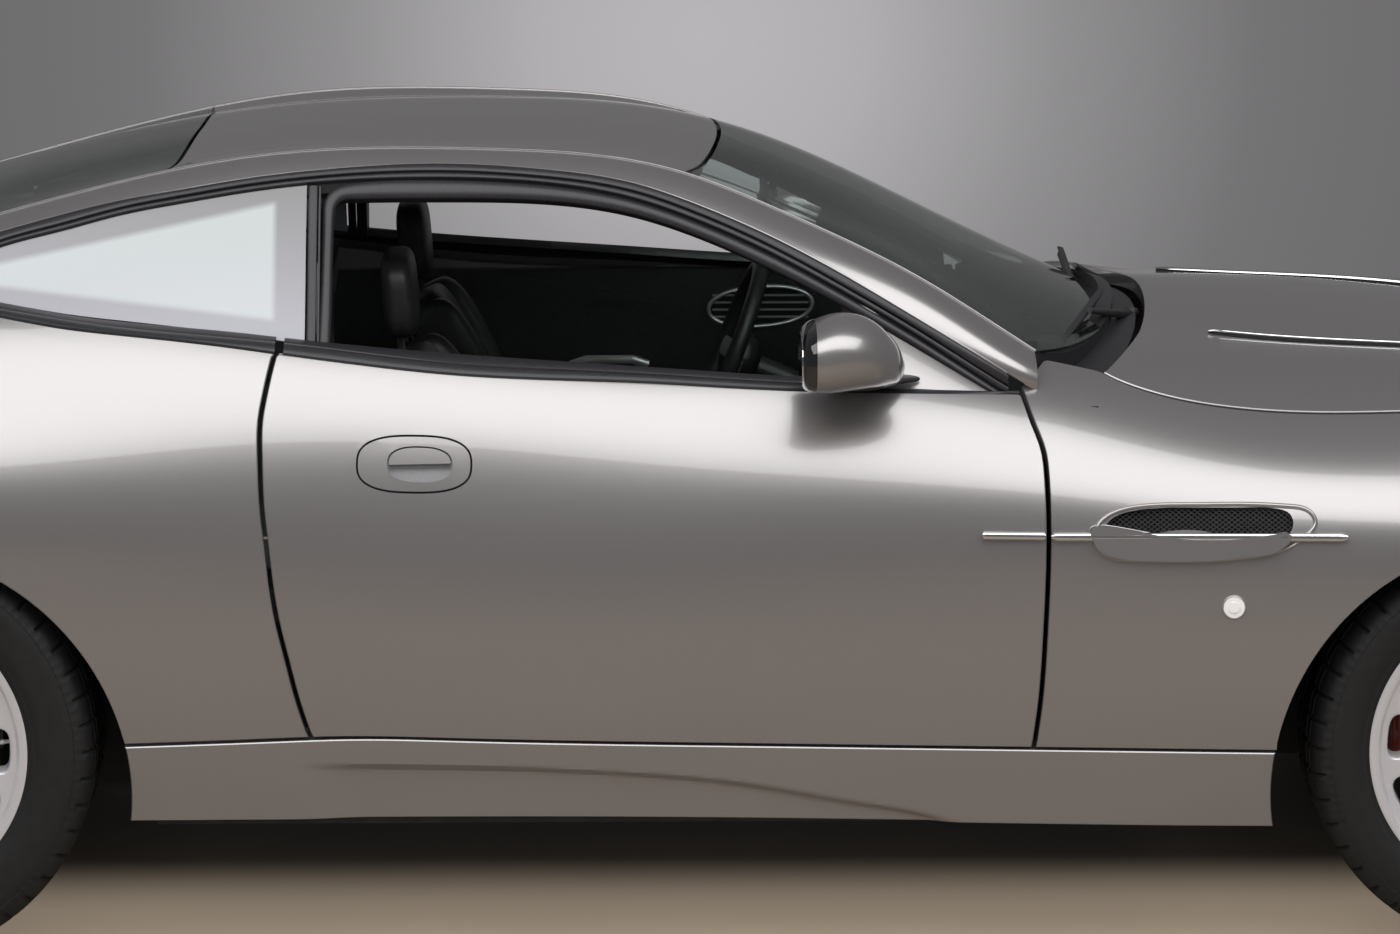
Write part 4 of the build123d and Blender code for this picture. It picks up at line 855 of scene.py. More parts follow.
def xv_of_side(points):
    """Turns (x, z) pairs on the body's side into (x, v)."""
    points = np.asarray(points, float)
    return np.stack([points[..., 0], BODY.find(points[..., 0], points[..., 1], 1, 0, SIDE_TOP)], axis=-1)


def xv_of_top(points):
    """Turns (x, y) pairs on the body's top into (x, v)."""
    points = np.asarray(points, float)
    return np.stack([points[..., 0], BODY.find(points[..., 0], points[..., 1], 0, 400)], axis=-1)


def run(points, count):
    """Count points evenly along a polyline that is already dense."""
    points = np.asarray(points, float)
    steps = np.linalg.norm(np.diff(points, axis=0), axis=1)
    knots = np.concatenate([[0], np.cumsum(steps)])
    t = np.linspace(0, knots[-1], count)
    return np.stack([np.interp(t, knots, points[:, c]) for c in range(points.shape[1])], axis=-1)


def arch_run(centre_x, z_from, z_to, count, grow=0.0):
    """Points over a wheel arch from its front foot to its rear foot."""
    radius = ARCH_RADIUS + grow
    first, last = math.asin((z_from - ARCH_Z) / radius), math.pi - math.asin((z_to - ARCH_Z) / radius)
    turn = np.linspace(first, last, count)
    return np.stack([centre_x + radius * np.cos(turn), ARCH_Z + radius * np.sin(turn)], axis=-1)


def body_patch(grid_xv, depth, side=-1, facing=(0, -1, 0.3), inner_y=None):
    """A body panel from its (x, v) grid."""
    grid = BODY.points(grid_xv[..., 0], grid_xv[..., 1], side)
    inner = None
    if inner_y is not None:
        inner = grid.copy()
        inner[..., 1] = side * np.minimum(np.abs(inner[..., 1]) - 12, inner_y)
    return shell(grid, depth, facing, inner=inner)


# door
front_line, rear_line = line(DOOR_FRONT_LINE), line(DOOR_REAR_LINE)
t_side = np.linspace(0, 1, 41)
door_front = front_line(t_side) - np.array([GAP_BACK, 0])
door_rear = rear_line(t_side) + np.array([GAP_BACK, 0])


def door_edges(count):
    """The door's four edges as (x, z) runs."""
    low_x = np.linspace(door_rear[0, 0], door_front[0, 0], count)
    low = np.stack([low_x, SILL_SEAM(low_x) + SEAM], axis=-1)
    high_x = np.linspace(door_rear[-1, 0], door_front[-1, 0], count)
    high = np.stack([high_x, BELT(high_x)], axis=-1)
    left, right = door_rear.copy(), door_front.copy()
    left[0], right[0], left[-1], right[-1] = low[0], low[-1], high[0], high[-1]
    return low, high, left, right


low, high, left, right = door_edges(121)
door_grid = coons(xv_of_side(low), xv_of_side(high), xv_of_side(left), xv_of_side(right))
door_part = body_patch(door_grid, 60, inner_y=862)
for side_name, part in (("right", door_part), ("left", mirrored(door_part))):
    finish_mesh(f"door_{side_name}_skin", *part, "paint", f"door_{side_name}", (f"door_{side_name}",))

# front wing, in three patches: behind the arch, over it and ahead of it
def split_run(points, xs, counts):
    """Cuts a run of (x, v) points at the x values given and spaces each part evenly."""
    dense = run(points, 900)
    marks = [0] + [int(np.argmin(np.abs(dense[:, 0] - x))) for x in xs] + [len(dense) - 1]
    return [run(dense[a:b + 1], count) for a, b, count in zip(marks, marks[1:], counts)]


def column(low, high, count=41):
    """A straight column in (x, v) between the end of one run and the end of another."""
    return low + (high - low) * np.linspace(0, 1, count)[:, None]


wing_rear = front_line(t_side) + np.array([GAP_AHEAD, 0])
ARCH_FOOT_Z = 205.0
FRONT_FOOT_X = FRONT_ARCH_X + 410
sill_x = np.linspace(wing_rear[0, 0], FRONT_ARCH_X - 413, 30)
wing_counts = (36, 108, 20)
foot_x = np.linspace(FRONT_FOOT_X, 1957, wing_counts[2])
wing_bottoms = [
    run(xv_of_side(np.stack([sill_x, SILL_SEAM(sill_x) + SEAM], axis=-1)), wing_counts[0]),
    run(xv_of_side(arch_run(FRONT_ARCH_X, ARCH_FOOT_Z, float(SILL_SEAM(1008)) + SEAM, 200)[::-1]),
        wing_counts[1]),
    xv_of_side(np.stack([foot_x, np.full(wing_counts[2], ARCH_FOOT_Z)], axis=-1)),
]
wing_bottoms[1][0], wing_bottoms[2][0] = wing_bottoms[0][-1], wing_bottoms[1][-1]
BONNET_SIDE = line(((731, 697), (748, 712), (790, 732), (850, 745), (960, 751), (1225, 752), (1500, 750),
                    (1750, 742),
                    (1957, 700)))
wing_top = np.concatenate([
    xv_of_side(run([(wing_rear[-1, 0], wing_rear[-1, 1]), (640, 962)], 4)),
    xv_of_top(BONNET_SIDE(np.linspace(0, 1, 90))),
])
wing_tops = split_run(wing_top, (930, 1880), wing_counts)
columns = [xv_of_side(wing_rear), column(wing_bottoms[0][-1], wing_tops[0][-1]),
           column(wing_bottoms[1][-1], wing_tops[1][-1]), column(wing_bottoms[2][-1], wing_tops[2][-1])]
wing_part = body_patch(strips(wing_bottoms, wing_tops, columns), 24)
finish_mesh("front_wings_skin", *joined(wing_part, mirrored(wing_part)), "paint", "body", ("front_wings",))

# sill
SILL_STEPS = 160
low_x = np.linspace(-893, 1004, SILL_STEPS)
sill_top_z = SILL_SEAM(low_x) - SEAM
sill_bottom = np.stack([low_x, np.zeros(SILL_STEPS)], axis=-1)
sill_top = xv_of_side(np.stack([low_x, sill_top_z], axis=-1))


def sill_end(centre_x, front, count):
    """The sill's end along the arch, as (x, v) from the bottom up."""
    z_low = 232 if not front else 212
    z_high = float(SILL_SEAM(-893 if not front else 1004)) - SEAM
    z = np.linspace(z_low, z_high, count)
    x = centre_x + (1 if not front else -1) * np.sqrt(ARCH_RADIUS**2 - (z - ARCH_Z) ** 2)
    return xv_of_side(np.stack([x, z], axis=-1))


left, right = sill_end(REAR_ARCH_X, False, 31), sill_end(FRONT_ARCH_X, True, 31)
sill_bottom[:, 0] = np.linspace(left[0, 0], right[0, 0], SILL_STEPS)
sill_top[:, 0] = np.linspace(left[-1, 0], right[-1, 0], SILL_STEPS)
sill_bottom[:, 1] = np.linspace(left[0, 1], right[0, 1], SILL_STEPS)
SWOOSH = height(((-620, 334), (-459, 331), (-263, 327), (-99, 319), (146, 295), (310, 264), (442, 238),
                 (499, 220),
                 (560, 200)))
SWOOSH_DEPTH = 15.0
sill_xv = coons(sill_bottom, sill_top, left, right)
sill_grid = BODY.points(sill_xv[..., 0], sill_xv[..., 1], -1)
under = SWOOSH(np.clip(sill_grid[..., 0], -620, 560)) - sill_grid[..., 2]
fade = smooth_step(sill_grid[..., 0], -600, -470) * (1 - smooth_step(sill_grid[..., 0], 430, 520))
sill_grid[..., 1] += SWOOSH_DEPTH * fade * smooth_step(under, 0, 14)
sill_part = shell(sill_grid, 60, (0, -1, 0.3))
finish_mesh("sills_skin", *joined(sill_part, mirrored(sill_part)), "paint", "body", ("sills",))

# rear quarter, under the glass and round the arch to the tail
quarter_front = rear_line(t_side) - np.array([GAP_AHEAD, 0])
sill_x = np.linspace(quarter_front[0, 0], REAR_ARCH_X + 412, 24)
BUMPER_SEAM = line(((-1700, 340), (-1745, 420), (-1820, 510), (-1930, 570), (-2100, 604), (-2330, 622)))
quarter_counts = (32, 108, 46)
quarter_bottoms = [
    run(xv_of_side(np.stack([sill_x, SILL_SEAM(sill_x) + SEAM], axis=-1)), quarter_counts[0]),
    run(xv_of_side(arch_run(REAR_ARCH_X, float(SILL_SEAM(-872)) + SEAM, 345, 200)), quarter_counts[1]),
    run(xv_of_side(BUMPER_SEAM(np.linspace(0, 1, 80)) + np.array([0, SEAM])), quarter_counts[2]),
]
quarter_bottoms[1][0], quarter_bottoms[2][0] = quarter_bottoms[0][-1], quarter_bottoms[1][-1]
quarter_top_side = np.linspace(quarter_front[-1, 0], -1290, 40)
QUARTER_TOP = line(((-1290, 775), (-1400, 760), (-1600, 700), (-1740, 590), (-1775, 568), (-2000, 567),
                    (-2330, 567)))
quarter_top = np.concatenate([
    xv_of_side(np.stack([quarter_top_side, BELT(quarter_top_side)], axis=-1)),
    xv_of_top(QUARTER_TOP(np.linspace(0.05, 1, 60))),
])
quarter_tops = split_run(quarter_top, (-780, -1760), quarter_counts)
columns = [xv_of_side(quarter_front), column(quarter_bottoms[0][-1], quarter_tops[0][-1]),
           column(quarter_bottoms[1][-1], quarter_tops[1][-1]),
           column(quarter_bottoms[2][-1], quarter_tops[2][-1])]
quarter_part = body_patch(strips(quarter_bottoms, quarter_tops, columns), 24)

# cantrail, from the windscreen pillar's foot to the rear pillar
CANT_LOW = height(((-1850, 890), (-1700, 960), (-1500, 1040), (-1300, 1112), (-1086, 1175), (-988, 1201),
                   (-889, 1224),
                   (-790, 1241), (-691, 1257), (-526, 1274), (-361, 1280), (-195, 1271), (-29, 1246),
                   (62, 1217),
                   (185, 1167), (308, 1105), (429, 1036), (560, 960), (640, 908)))
ROOF_LINE = height(((-1765, 560), (-1400, 556), (-1095, 552), (-816, 540), (-262, 525), (46, 548),
                    (208, 588),
                    (400, 640), (628, 708)))
cant_x = np.linspace(-1740, 622, 150)
cant_low_v = CABIN.find(cant_x, CANT_LOW(cant_x), 1, 0, 560)
cant_top_v = CABIN.find(cant_x, ROOF_LINE(cant_x) + 2, 0, 250)
mix = np.linspace(0, 1, 13)[None, :]
cant_v = cant_low_v[:, None] * (1 - mix) + cant_top_v[:, None] * mix
cant_grid = CABIN.points(cant_x[:, None] + 0 * mix, cant_v, -1)
cant_part = shell(cant_grid, 14, (0, -1, 0.5))

# the hollow that carries the rear pillar down into the quarter
pillar_x = np.linspace(-1745, -1180, 70)
start_v = np.full(70, 0.4 * SHOULDER_MARK + 0.6 * EDGE_MARK)
end_v = CABIN.find(pillar_x, CANT_LOW(pillar_x) + 12, 1, 0, 560)
step = 4.0
first, first_on = BODY.points(pillar_x, start_v, -1), BODY.points(pillar_x, start_v + step, -1)
last, last_on = CABIN.points(pillar_x, end_v, -1), CABIN.points(pillar_x, end_v + step, -1)
span = np.linalg.norm(last - first, axis=-1, keepdims=True)
leave, arrive = unit(first_on - first) * span * 0.9, unit(last_on - last) * span * 0.9
t = np.linspace(0, 1, 25)[None, :, None]
fillet = ((2 * t**3 - 3 * t**2 + 1) * first[:, None] + (t**3 - 2 * t**2 + t) * leave[:, None]
          + (3 * t**2 - 2 * t**3) * last[:, None] + (t**3 - t**2) * arrive[:, None])
fillet_part = shell(fillet + np.array([0, -0.6, 0.6]), 8, (0, -1, 0.5), roll=0.4)
cant_part = joined(cant_part, fillet_part)
for side_name, quarter, cant in (("right", quarter_part, cant_part),
                                 ("left", mirrored(quarter_part), mirrored(cant_part))):
    finish_mesh(f"side_frame_{side_name}_skin", *quarter, "paint", "body", (f"side_frame_{side_name}",))
    finish_mesh(f"cantrail_{side_name}_skin", *cant, "paint", "body")


# ---------------------------------------------------------------- bonnet, roof and glass
def top_patch(loft, rear, front, half, nu, nv, lift=None):
    """Points of a panel across the car: rear and front give x at a share of the width, half gives y at x."""
    share = np.linspace(-1, 1, nv)[None, :]
    u = even(nu - 1, 0.3)[:, None]
    x = rear(np.abs(share)) * (1 - u) + front(np.abs(share)) * u
    y = half(x) * share
    v = loft.find(x, np.abs(y), 0, 250)
    points = loft.points(x, v, 1)
    points[..., 1] = y
    if lift is not None:
        points[..., 2] += lift(x, np.abs(y))
    return points


def bonnet_half(x):
    side = BONNET_SIDE(np.linspace(0, 1, 200))
    nose = np.array([(2010, 652), (2070, 560), (2110, 430), (2140, 200), (2143, 0)], float)
    outline = np.concatenate([side, nose])
    return np.interp(x, outline[:, 0], outline[:, 1]) - 6


def bonnet_lift(x, y):
    """The raised centre of the bonnet."""
    along = smooth_step(x, 850, 1250) * (1 - smooth_step(x, 1700, 2120))
    return 9 * (1 - smooth_step(y, 250, 430)) * along


bonnet_grid = top_patch(BODY, lambda s: 868 - (868 - 738) * s**2, lambda s: 2136 - 90 * s**3, bonnet_half,
                        90, 81, bonnet_lift)
finish_mesh("bonnet_skin", *shell(bonnet_grid, 24, (0, 0, 1)), "paint", "bonnet", ("bonnet",))


def roof_half(x):
    return ROOF_LINE(x) - 2


roof_grid = top_patch(CABIN, lambda s: -795 - 21 * s**2, lambda s: 114 - 70 * s**2, roof_half, 48, 39)
finish_mesh("roof_skin", *shell(roof_grid, 30, (0, 0, 1)), "paint", "body", ("roof_panel",))
windscreen_grid = top_patch(CABIN, lambda s: 121 - 70 * s**2, lambda s: 812 - 187 * s**2, roof_half, 48, 39)
finish_mesh("windscreen_glass", *shell(windscreen_grid, 5, (0, 0, 1), roll=0.8), "glass", "body",
            ("windscreen",))
rear_grid = top_patch(CABIN, lambda s: -1748 + 12 * s**2, lambda s: -801 - 21 * s**2, roof_half, 48, 39)
finish_mesh("rear_window_glass", *shell(rear_grid, 5, (0, 0, 1), roll=0.8), "glass", "body",
            ("rear_window",))

# ---------------------------------------------------------------- window trims on the body
STRIP_LINE = ((-1190, 1118), (-1084, 1161), (-986, 1187), (-888, 1212), (-790, 1230), (-691, 1246),
              (-526, 1263),
              (-361, 1268), (-195, 1259), (-29, 1233), (62, 1203), (184, 1152), (307, 1088), (429, 1019),
              (563, 938))
RUBBER_LINE = ((-1190, 1110), (-1084, 1153), (-986, 1178), (-888, 1203), (-790, 1221), (-691, 1237),
               (-526, 1254),
               (-360, 1258), (-195, 1250), (-29, 1222), (62, 1192), (184, 1141), (307, 1077), (429, 1007),
               (559, 926))
TRIM_REAR_X, TRIM_FRONT_X = -1180.0, 572.0
trim_x = np.linspace(TRIM_REAR_X, TRIM_FRONT_X, 170)
strip_z, rubber_z = height(STRIP_LINE)(trim_x), height(RUBBER_LINE)(trim_x)
upper_low = on_cabin(np.stack([trim_x, strip_z + 1.2], axis=-1), 1)
upper_high = on_cabin(np.stack([trim_x, CANT_LOW(trim_x) - 1.0], axis=-1), 1)
under_low = on_cabin(np.stack([trim_x, rubber_z + 1.6], axis=-1), 0)
under_high = on_cabin(np.stack([trim_x, strip_z - 1.2], axis=-1), 0)
roof_strips = joined(ridge(upper_low, upper_high, 3.5, 8), ridge(under_low, under_high, 3.0, 8))
backing = ridge(on_cabin(np.stack([trim_x, rubber_z - 14], axis=-1), -4),
                on_cabin(np.stack([trim_x, CANT_LOW(trim_x) + 2], axis=-1), -4), 0.5, 12, 2)
pair("cantrail_strips", roof_strips, "seal_rubber", "body")
pair("cantrail_backing", backing, "gap_black", "body")

# the fat inner seal: up the rear post, round its corner and down to the mirror's triangle
SEAL_OUTER = ((-558, 996), (-554, 1100), (-552, 1205), (-549, 1228), (-534, 1244), (-509, 1251),
              (-440, 1256), (-360, 1256),
              (-195, 1247), (-29, 1219), (62, 1189), (184, 1138), (307, 1074), (429, 1004), (556, 926))
SEAL_INNER = ((-538, 996), (-536, 1100), (-534, 1203), (-531, 1218), (-523, 1226), (-505, 1229),
              (-440, 1230), (-380, 1230),
              (-200, 1226), (-40, 1203), (55, 1173), (172, 1124), (286, 1067), (406, 1000), (548, 922))
seal_t = np.linspace(0, 1, 200)
seal_out = run(line(SEAL_OUTER)(seal_t), 200)
seal_in = run(line(SEAL_INNER)(seal_t), 200)
seal = ridge(on_cabin(seal_in, -6), on_cabin(seal_out, -1), 7.5, 16, 10, 2.0)
pair("door_seal", seal, "seal_rubber", "body")

# the post between the door and the quarter glass
POST_Z = (1000, 1247)
POST_REAR_X, POST_SPLIT_X, POST_FRONT_X = -577, -562, -556
post_z = np.linspace(*POST_Z, 40)
post_low, post_split, post_end = (np.stack([x + 0.0 * post_z, post_z], axis=-1)
                                  for x in (POST_REAR_X, POST_SPLIT_X, POST_FRONT_X))
post_strip = joined(ridge(on_cabin(post_low, 0), on_cabin(post_split, 0), 3, 14),
                    ridge(on_cabin(post_split + (1.5, 0), -1), on_cabin(post_end, -1), 2, 14))
pair("rear_post", post_strip, "seal_rubber", "body")

# quarter glass, grey with a painted reflection
quarter_x = np.linspace(-1168, -580, 50)
quarter_low_z = np.minimum(BELT(quarter_x) + 15, height(RUBBER_LINE)(quarter_x) - 6)
quarter_top_z = height(RUBBER_LINE)(quarter_x) + 1
share = np.linspace(0, 1, 21)[None, :]
quarter_z = quarter_low_z[:, None] * (1 - share) + quarter_top_z[:, None] * share
pane = on_cabin(np.stack([quarter_x[:, None] + 0 * share, quarter_z], axis=-1), -3)
pane_part = shell(pane, 5, (0, -1, 0.3), roll=0.4)
finish_mesh("quarter_panes", *both(pane_part), "quarter_pane", "body", ("quarter_glass",))

# belt trim: two beads along the door, and the same along the quarter under the glass
BELT_MID = height(((-1290, 1092), (-1073, 1060), (-877, 1032), (-616, 1008), (-358, 978), (-32, 957),
                   (234, 940), (400, 934)))
BELT_TOP = height(((-1290, 1100), (-1180, 1083), (-1080, 1067), (-981, 1049), (-883, 1037), (-686, 1020),
                   (-612, 1012),
                   (-358, 989), (-31, 966), (235, 948), (400, 941)))
BELT_TOP_Y = height(((-1290, 680), (-1180, 705), (-1080, 722), (-883, 741), (-612, 760), (-358, 773),
                     (-31, 779),
                     (235, 781), (400, 780)))


def belt_beads(x_from, x_to):
    """The two satin beads along the foot of the side glass."""
    x = np.linspace(x_from, x_to, 80)
    low = on_body(np.stack([x, BELT(x) + 1.5], axis=-1), -1)
    mid_y = -(np.abs(low[:, 1]) * 0.6 + BELT_TOP_Y(x) * 0.4)
    middle = np.stack([x, mid_y, BELT_MID(x)], axis=-1)
    top = np.stack([x, -BELT_TOP_Y(x), BELT_TOP(x)], axis=-1)
    gap = unit(top - middle)
    return joined(ridge(low, middle - gap * 0.8, 4.5, 14), ridge(middle + gap * 0.8, top, 3.5, 14))


pair("door_belt_trim", belt_beads(-612, 262), "seal_rubber", "door_{}")
quarter_belt = belt_beads(-1175, -626)
pair("quarter_belt_trim", quarter_belt, "seal_rubber", "body")

# the thin bright drip bead along the roof joint, and the lit edge of the cantrail
bead_x = np.linspace(-1735, 622, 120)
bead_v = CABIN.find(bead_x, ROOF_LINE(bead_x), 0, 250)
bead_w = CABIN.find(bead_x, ROOF_LINE(bead_x) + 5, 0, 250)
bead = ridge(CABIN.points(bead_x, bead_w, -1), CABIN.points(bead_x, bead_v, -1), 2.6, 3, 6)
finish_mesh("roof_joint_beads", *both(bead), "paint", "body")
edge_x = np.linspace(-1180, 570, 170)
edge = ridge(on_cabin(np.stack([edge_x, CANT_LOW(edge_x) - 1], axis=-1), 0.4),
             on_cabin(np.stack([edge_x, CANT_LOW(edge_x) + 3], axis=-1), 0.4), 1.6, 3, 4)
finish_mesh("cantrail_edge_beads", *both(edge), "paint", "body")

# the painted triangle ahead of the window, and the thin line under it
sail_low = np.stack([np.linspace(322, 553, 30), np.linspace(932, 921, 30)], axis=-1)
SAIL_EDGE = line(((330, 1062), (341, 1057), (388, 1025), (470, 972), (552, 924)))
sail_top = run(SAIL_EDGE(np.linspace(0, 1, 100)), 30)
sail_left, sail_right = run([sail_low[0], sail_top[0]], 12), run([sail_low[-1], sail_top[-1]], 12)
sail = shell(on_cabin(coons(sail_low, sail_top, sail_left, sail_right), -2), 8, (0, -1, 0.3), roll=1.0)
pair("mirror_triangle", sail, "paint", "door_{}")
line_x = np.linspace(250, 590, 50)
sill_line = ridge(on_body(np.stack([line_x, BELT(line_x) - 1], axis=-1), -2),
                  np.stack([line_x, -790 + 0.0 * line_x, BELT(line_x) + 4], axis=-1), 1.0, 8, 4)
pair("mirror_sill_line", sill_line, "seal_rubber", "door_{}")

# ---------------------------------------------------------------- door mirrors
MIRROR_SECTIONS = (
    # x, middle y, middle z, half width, half height, squareness
    (233, -932, 1004, 92, 51, 2.6), (250, -932, 1006, 97, 57, 2.5), (275, -931, 1010, 98, 62, 2.4),
    (300, -928, 1012, 95, 62, 2.3), (330, -923, 1010, 87, 57, 2.2), (355, -916, 1003, 74, 48, 2.1),
    (375, -908, 994, 57, 36, 2.0), (388, -901, 986, 36, 22, 2.0), (394, -897, 982, 12, 8, 2.0),
)
mirror_loft = Spline([row[0] for row in MIRROR_SECTIONS], [row[1:] for row in MIRROR_SECTIONS])


def mirror_ring(x, grow=0.0, count=48):
    """One closed section of the mirror's head."""
    y, z, wide, tall, power = mirror_loft(x)
    ring = oval((float(y), float(z)), float(wide) + grow, float(tall) + grow, count, float(power))
    return [(float(x), float(p[0]), float(p[1])) for p in ring]


def tube(rings):
    """A closed solid through rings of equal counts."""
    count = len(rings[0])
    verts = [p for ring in rings for p in ring]
    faces = [tuple(range(count)), tuple(range(len(verts) - 1, len(verts) - count - 1, -1))]
    for r in range(len(rings) - 1):
        for k in range(count):
            m = (k + 1) % count
            faces.append((r * count + k, r * count + m, (r + 1) * count + m, (r + 1) * count + k))
    return outward(verts, faces)


shell_x = 248 + (394 - 248) * np.sin(np.linspace(0, np.pi / 2, 30))
mirror_shell = tube([mirror_ring(x) for x in shell_x])
rim_rings = [mirror_ring(226, -7), mirror_ring(229, -2), mirror_ring(236, 1.4), mirror_ring(246, 1.6),
             mirror_ring(247.4, 0.8)]
mirror_rim = tube(rim_rings)
mirror_face = tube([[(x, p[1], p[2]) for p in mirror_ring(229, -12)] for x in (224.6, 226.4)])
foot_rows = []
for t in np.linspace(0, 1, 10):
    centre = np.array([318 + 30 * t, -905 + 130 * t, 958 - 14 * t])
    ring = oval((centre[0], centre[2]), 46 + 34 * t * t, 9 + 5 * (1 - t), 28, 2.6)
    foot_rows.append([(float(p[0]), float(centre[1]), float(p[1])) for p in ring])
mirror_foot = tube(foot_rows)
pair("mirror_shell", mirror_shell, "paint", "door_{}", "mirror_{}")
pair("mirror_rim", mirror_rim, "gloss_black", "door_{}")
pair("mirror_face", mirror_face, "mirror_glass", "door_{}")
pair("mirror_foot", mirror_foot, "black_plastic", "door_{}")

# ---------------------------------------------------------------- door handle, side bars, vent, marker
HANDLE_AT, PULL_AT = (-398.0, 826.0), (-389.0, 826.0)
POCKET_ABOVE, POCKET_DEPTH = 14, 24
handle_outline = oval(HANDLE_AT, 94, 46, 72, 2.7, -1)
pull_outline = oval(PULL_AT, 53, 28, 60, 2.5, -2)
for side_name in ("right", "left"):
    skin = bpy.data.objects[f"door_{side_name}_skin"]
    groove = loop_bead(handle_outline, on_body, 3.2, 9, 7, 4)
    pocket_top, pocket_floor = on_body(pull_outline, POCKET_ABOVE), on_body(pull_outline, -POCKET_DEPTH)
    cup = tube([[tuple(q) for q in pocket_floor], [tuple(q) for q in pocket_top]])
    for cutter in (groove, cup):
        carve(skin, cutter if side_name == "right" else mirrored(cutter))
flap_outline = np.array([p for p in oval(PULL_AT, 50, 25.5, 120, 2.5, -2) if p[1] > PULL_AT[1] - 1])
flap_outline = run(np.concatenate([flap_outline, flap_outline[:1]]), 80)[:-1]
flap = inlay(flap_outline, lambda p, off=0.0: on_body(p, off) + np.array([0, 1, 0.0]), 0.5, 9)
pair("handle_pull", flap, "paint", "door_{}")
handle_floor = inlay(oval(PULL_AT, 54, 29, 60, 2.5, -2), on_body, -21.5, 2)
pair("handle_cup", handle_floor, "silver_plastic", "door_{}")
groove_floor = loop_bead(oval(HANDLE_AT, 95, 47, 72, 2.7, -1), on_body, 5, 0.3, 1, 3, -4.8)
pair("handle_groove", groove_floor, "gap_black", "door_{}")


def side_bar(x_from, x_to, z_from, z_to, tall):
    """A rounded bright bar that stands off the side."""
    x = np.linspace(x_from, x_to, 60)
    z = np.linspace(z_from, z_to, 60)
    end = np.minimum(1, np.minimum(x - x_from, x_to - x) / 3 + 0.55)[:, None] * np.array([[0, 1.0]])
    low = on_body(np.stack([x, z - tall / 2 * end[:, 1]], axis=-1), 5)
    high = on_body(np.stack([x, z + tall / 2 * end[:, 1]], axis=-1), 5)
    return ridge(low, high, 7, 7, 10, 2.6)


pair("door_side_bar", side_bar(521, 624, 708.5, 707, 13), "bright_trim", "door_{}")
wing_bar = side_bar(633, 1113, 706, 705, 13.5)
pair("wing_side_bar", wing_bar, "bright_trim", "body")

VENT_OUTLINE = closed_run(((700, 706), (708, 729), (735, 748), (775, 757), (867, 760), (960, 760),
                           (1022, 757), (1058, 746),
                           (1066, 728), (1052, 708), (1028, 690), (985, 675), (930, 667), (850, 663),
                           (770, 664),
                           (729, 669), (708, 683)))
UPPER_RECESS = closed_run(((718, 714), (728, 731), (750, 743), (790, 750), (867, 752), (950, 752),
                           (1000, 750),
                           (1022, 741), (1026, 726), (1020, 712), (900, 711), (800, 711)))
LOWER_RECESS = closed_run(((700, 700), (900, 700), (1020, 699), (1005, 686), (960, 675), (900, 669),
                           (850, 667), (780, 668),
                           (735, 673), (712, 684)))
RECESS_ABOVE, RECESS_DEPTH = 12, 19
wing_piece = bpy.data.objects["front_wings_skin"]
for outline in (UPPER_RECESS, LOWER_RECESS):
    top_ring, floor_ring = on_body(outline, RECESS_ABOVE), on_body(outline, -RECESS_DEPTH)
    cup = tube([[tuple(q) for q in floor_ring], [tuple(q) for q in top_ring]])
    carve(wing_piece, cup)
    carve(wing_piece, mirrored(cup))
vent_floor = joined(inlay(UPPER_RECESS, on_body, -16.5, 2), inlay(LOWER_RECESS, on_body, -16.5, 2))
pair("vent_floor", vent_floor, "gap_black", "body")
MESH_PITCH, MESH_SLOPE, MESH_WIRE = 6.2, math.radians(38), 1.5
vent_mesh = lattice(UPPER_RECESS, on_body, MESH_PITCH, MESH_SLOPE, MESH_WIRE, -8, 0.9)
pair("vent_mesh", vent_mesh, "mesh_metal", "body")
vent_surround = joined(loop_bead(VENT_OUTLINE, on_body, 7.5, 4.2, 2),
                       loop_bead(LOWER_RECESS, on_body, -3.0, 2.2, 2))
pair("vent_surround", vent_surround, "paint", "body")
MARKER_AT = (931.0, 591.0)
marker = joined(inlay(oval(MARKER_AT, 17, 17, 36), on_body, 3.0, 5),
                inlay(oval(MARKER_AT, 9, 9, 24), on_body, 5.0, 3))
pair("marker_lamp", marker, "lamp_amber", "body")
pair("marker_ring", loop_bead(oval(MARKER_AT, 20, 20, 40), on_body, 4.2, 3.2, 3), "silver_plastic", "body")

# ---------------------------------------------------------------- wheels
WINDOW_COUNT = 12
BOLT_COUNT, BOLT_CIRCLE, FIRST_BOLT = 5, 56, 18
WINDOW_MIDDLE, WINDOW_HALF = 170, 52
HUB_EDGE, PLATE_EDGE = 78, 230
DISC_FACES = (-21, -49)
# name, wheel centre, rim half width, tyre half width, angle of the first window in degrees
WHEELS = (
    ("front_right", (1412.5, -775, 343), 114.5, 127.5, -5.3),
    ("front_left", (1412.5, 775, 343), 114.5, 127.5, -5.3),
    ("rear_right", (-1277.5, -790, 355), 127, 142.5, 0),
    ("rear_left", (-1277.5, 790, 355), 127, 142.5, 0),
)


def weld(part):
    """The same piece with its coincident points made one."""
    verts, faces = part
    _, first, index = np.unique(np.round(np.asarray(verts, float), 2), axis=0, return_index=True,
                                return_inverse=True)
    index = index.reshape(-1)
    merged = []
    for face in faces:
        ids = [int(index[i]) for i in face]
        ids = [i for k, i in enumerate(ids) if i != ids[k - 1]]
        if len(ids) > 2:
            merged.append(tuple(ids))
    return [tuple(verts[k]) for k in first], merged


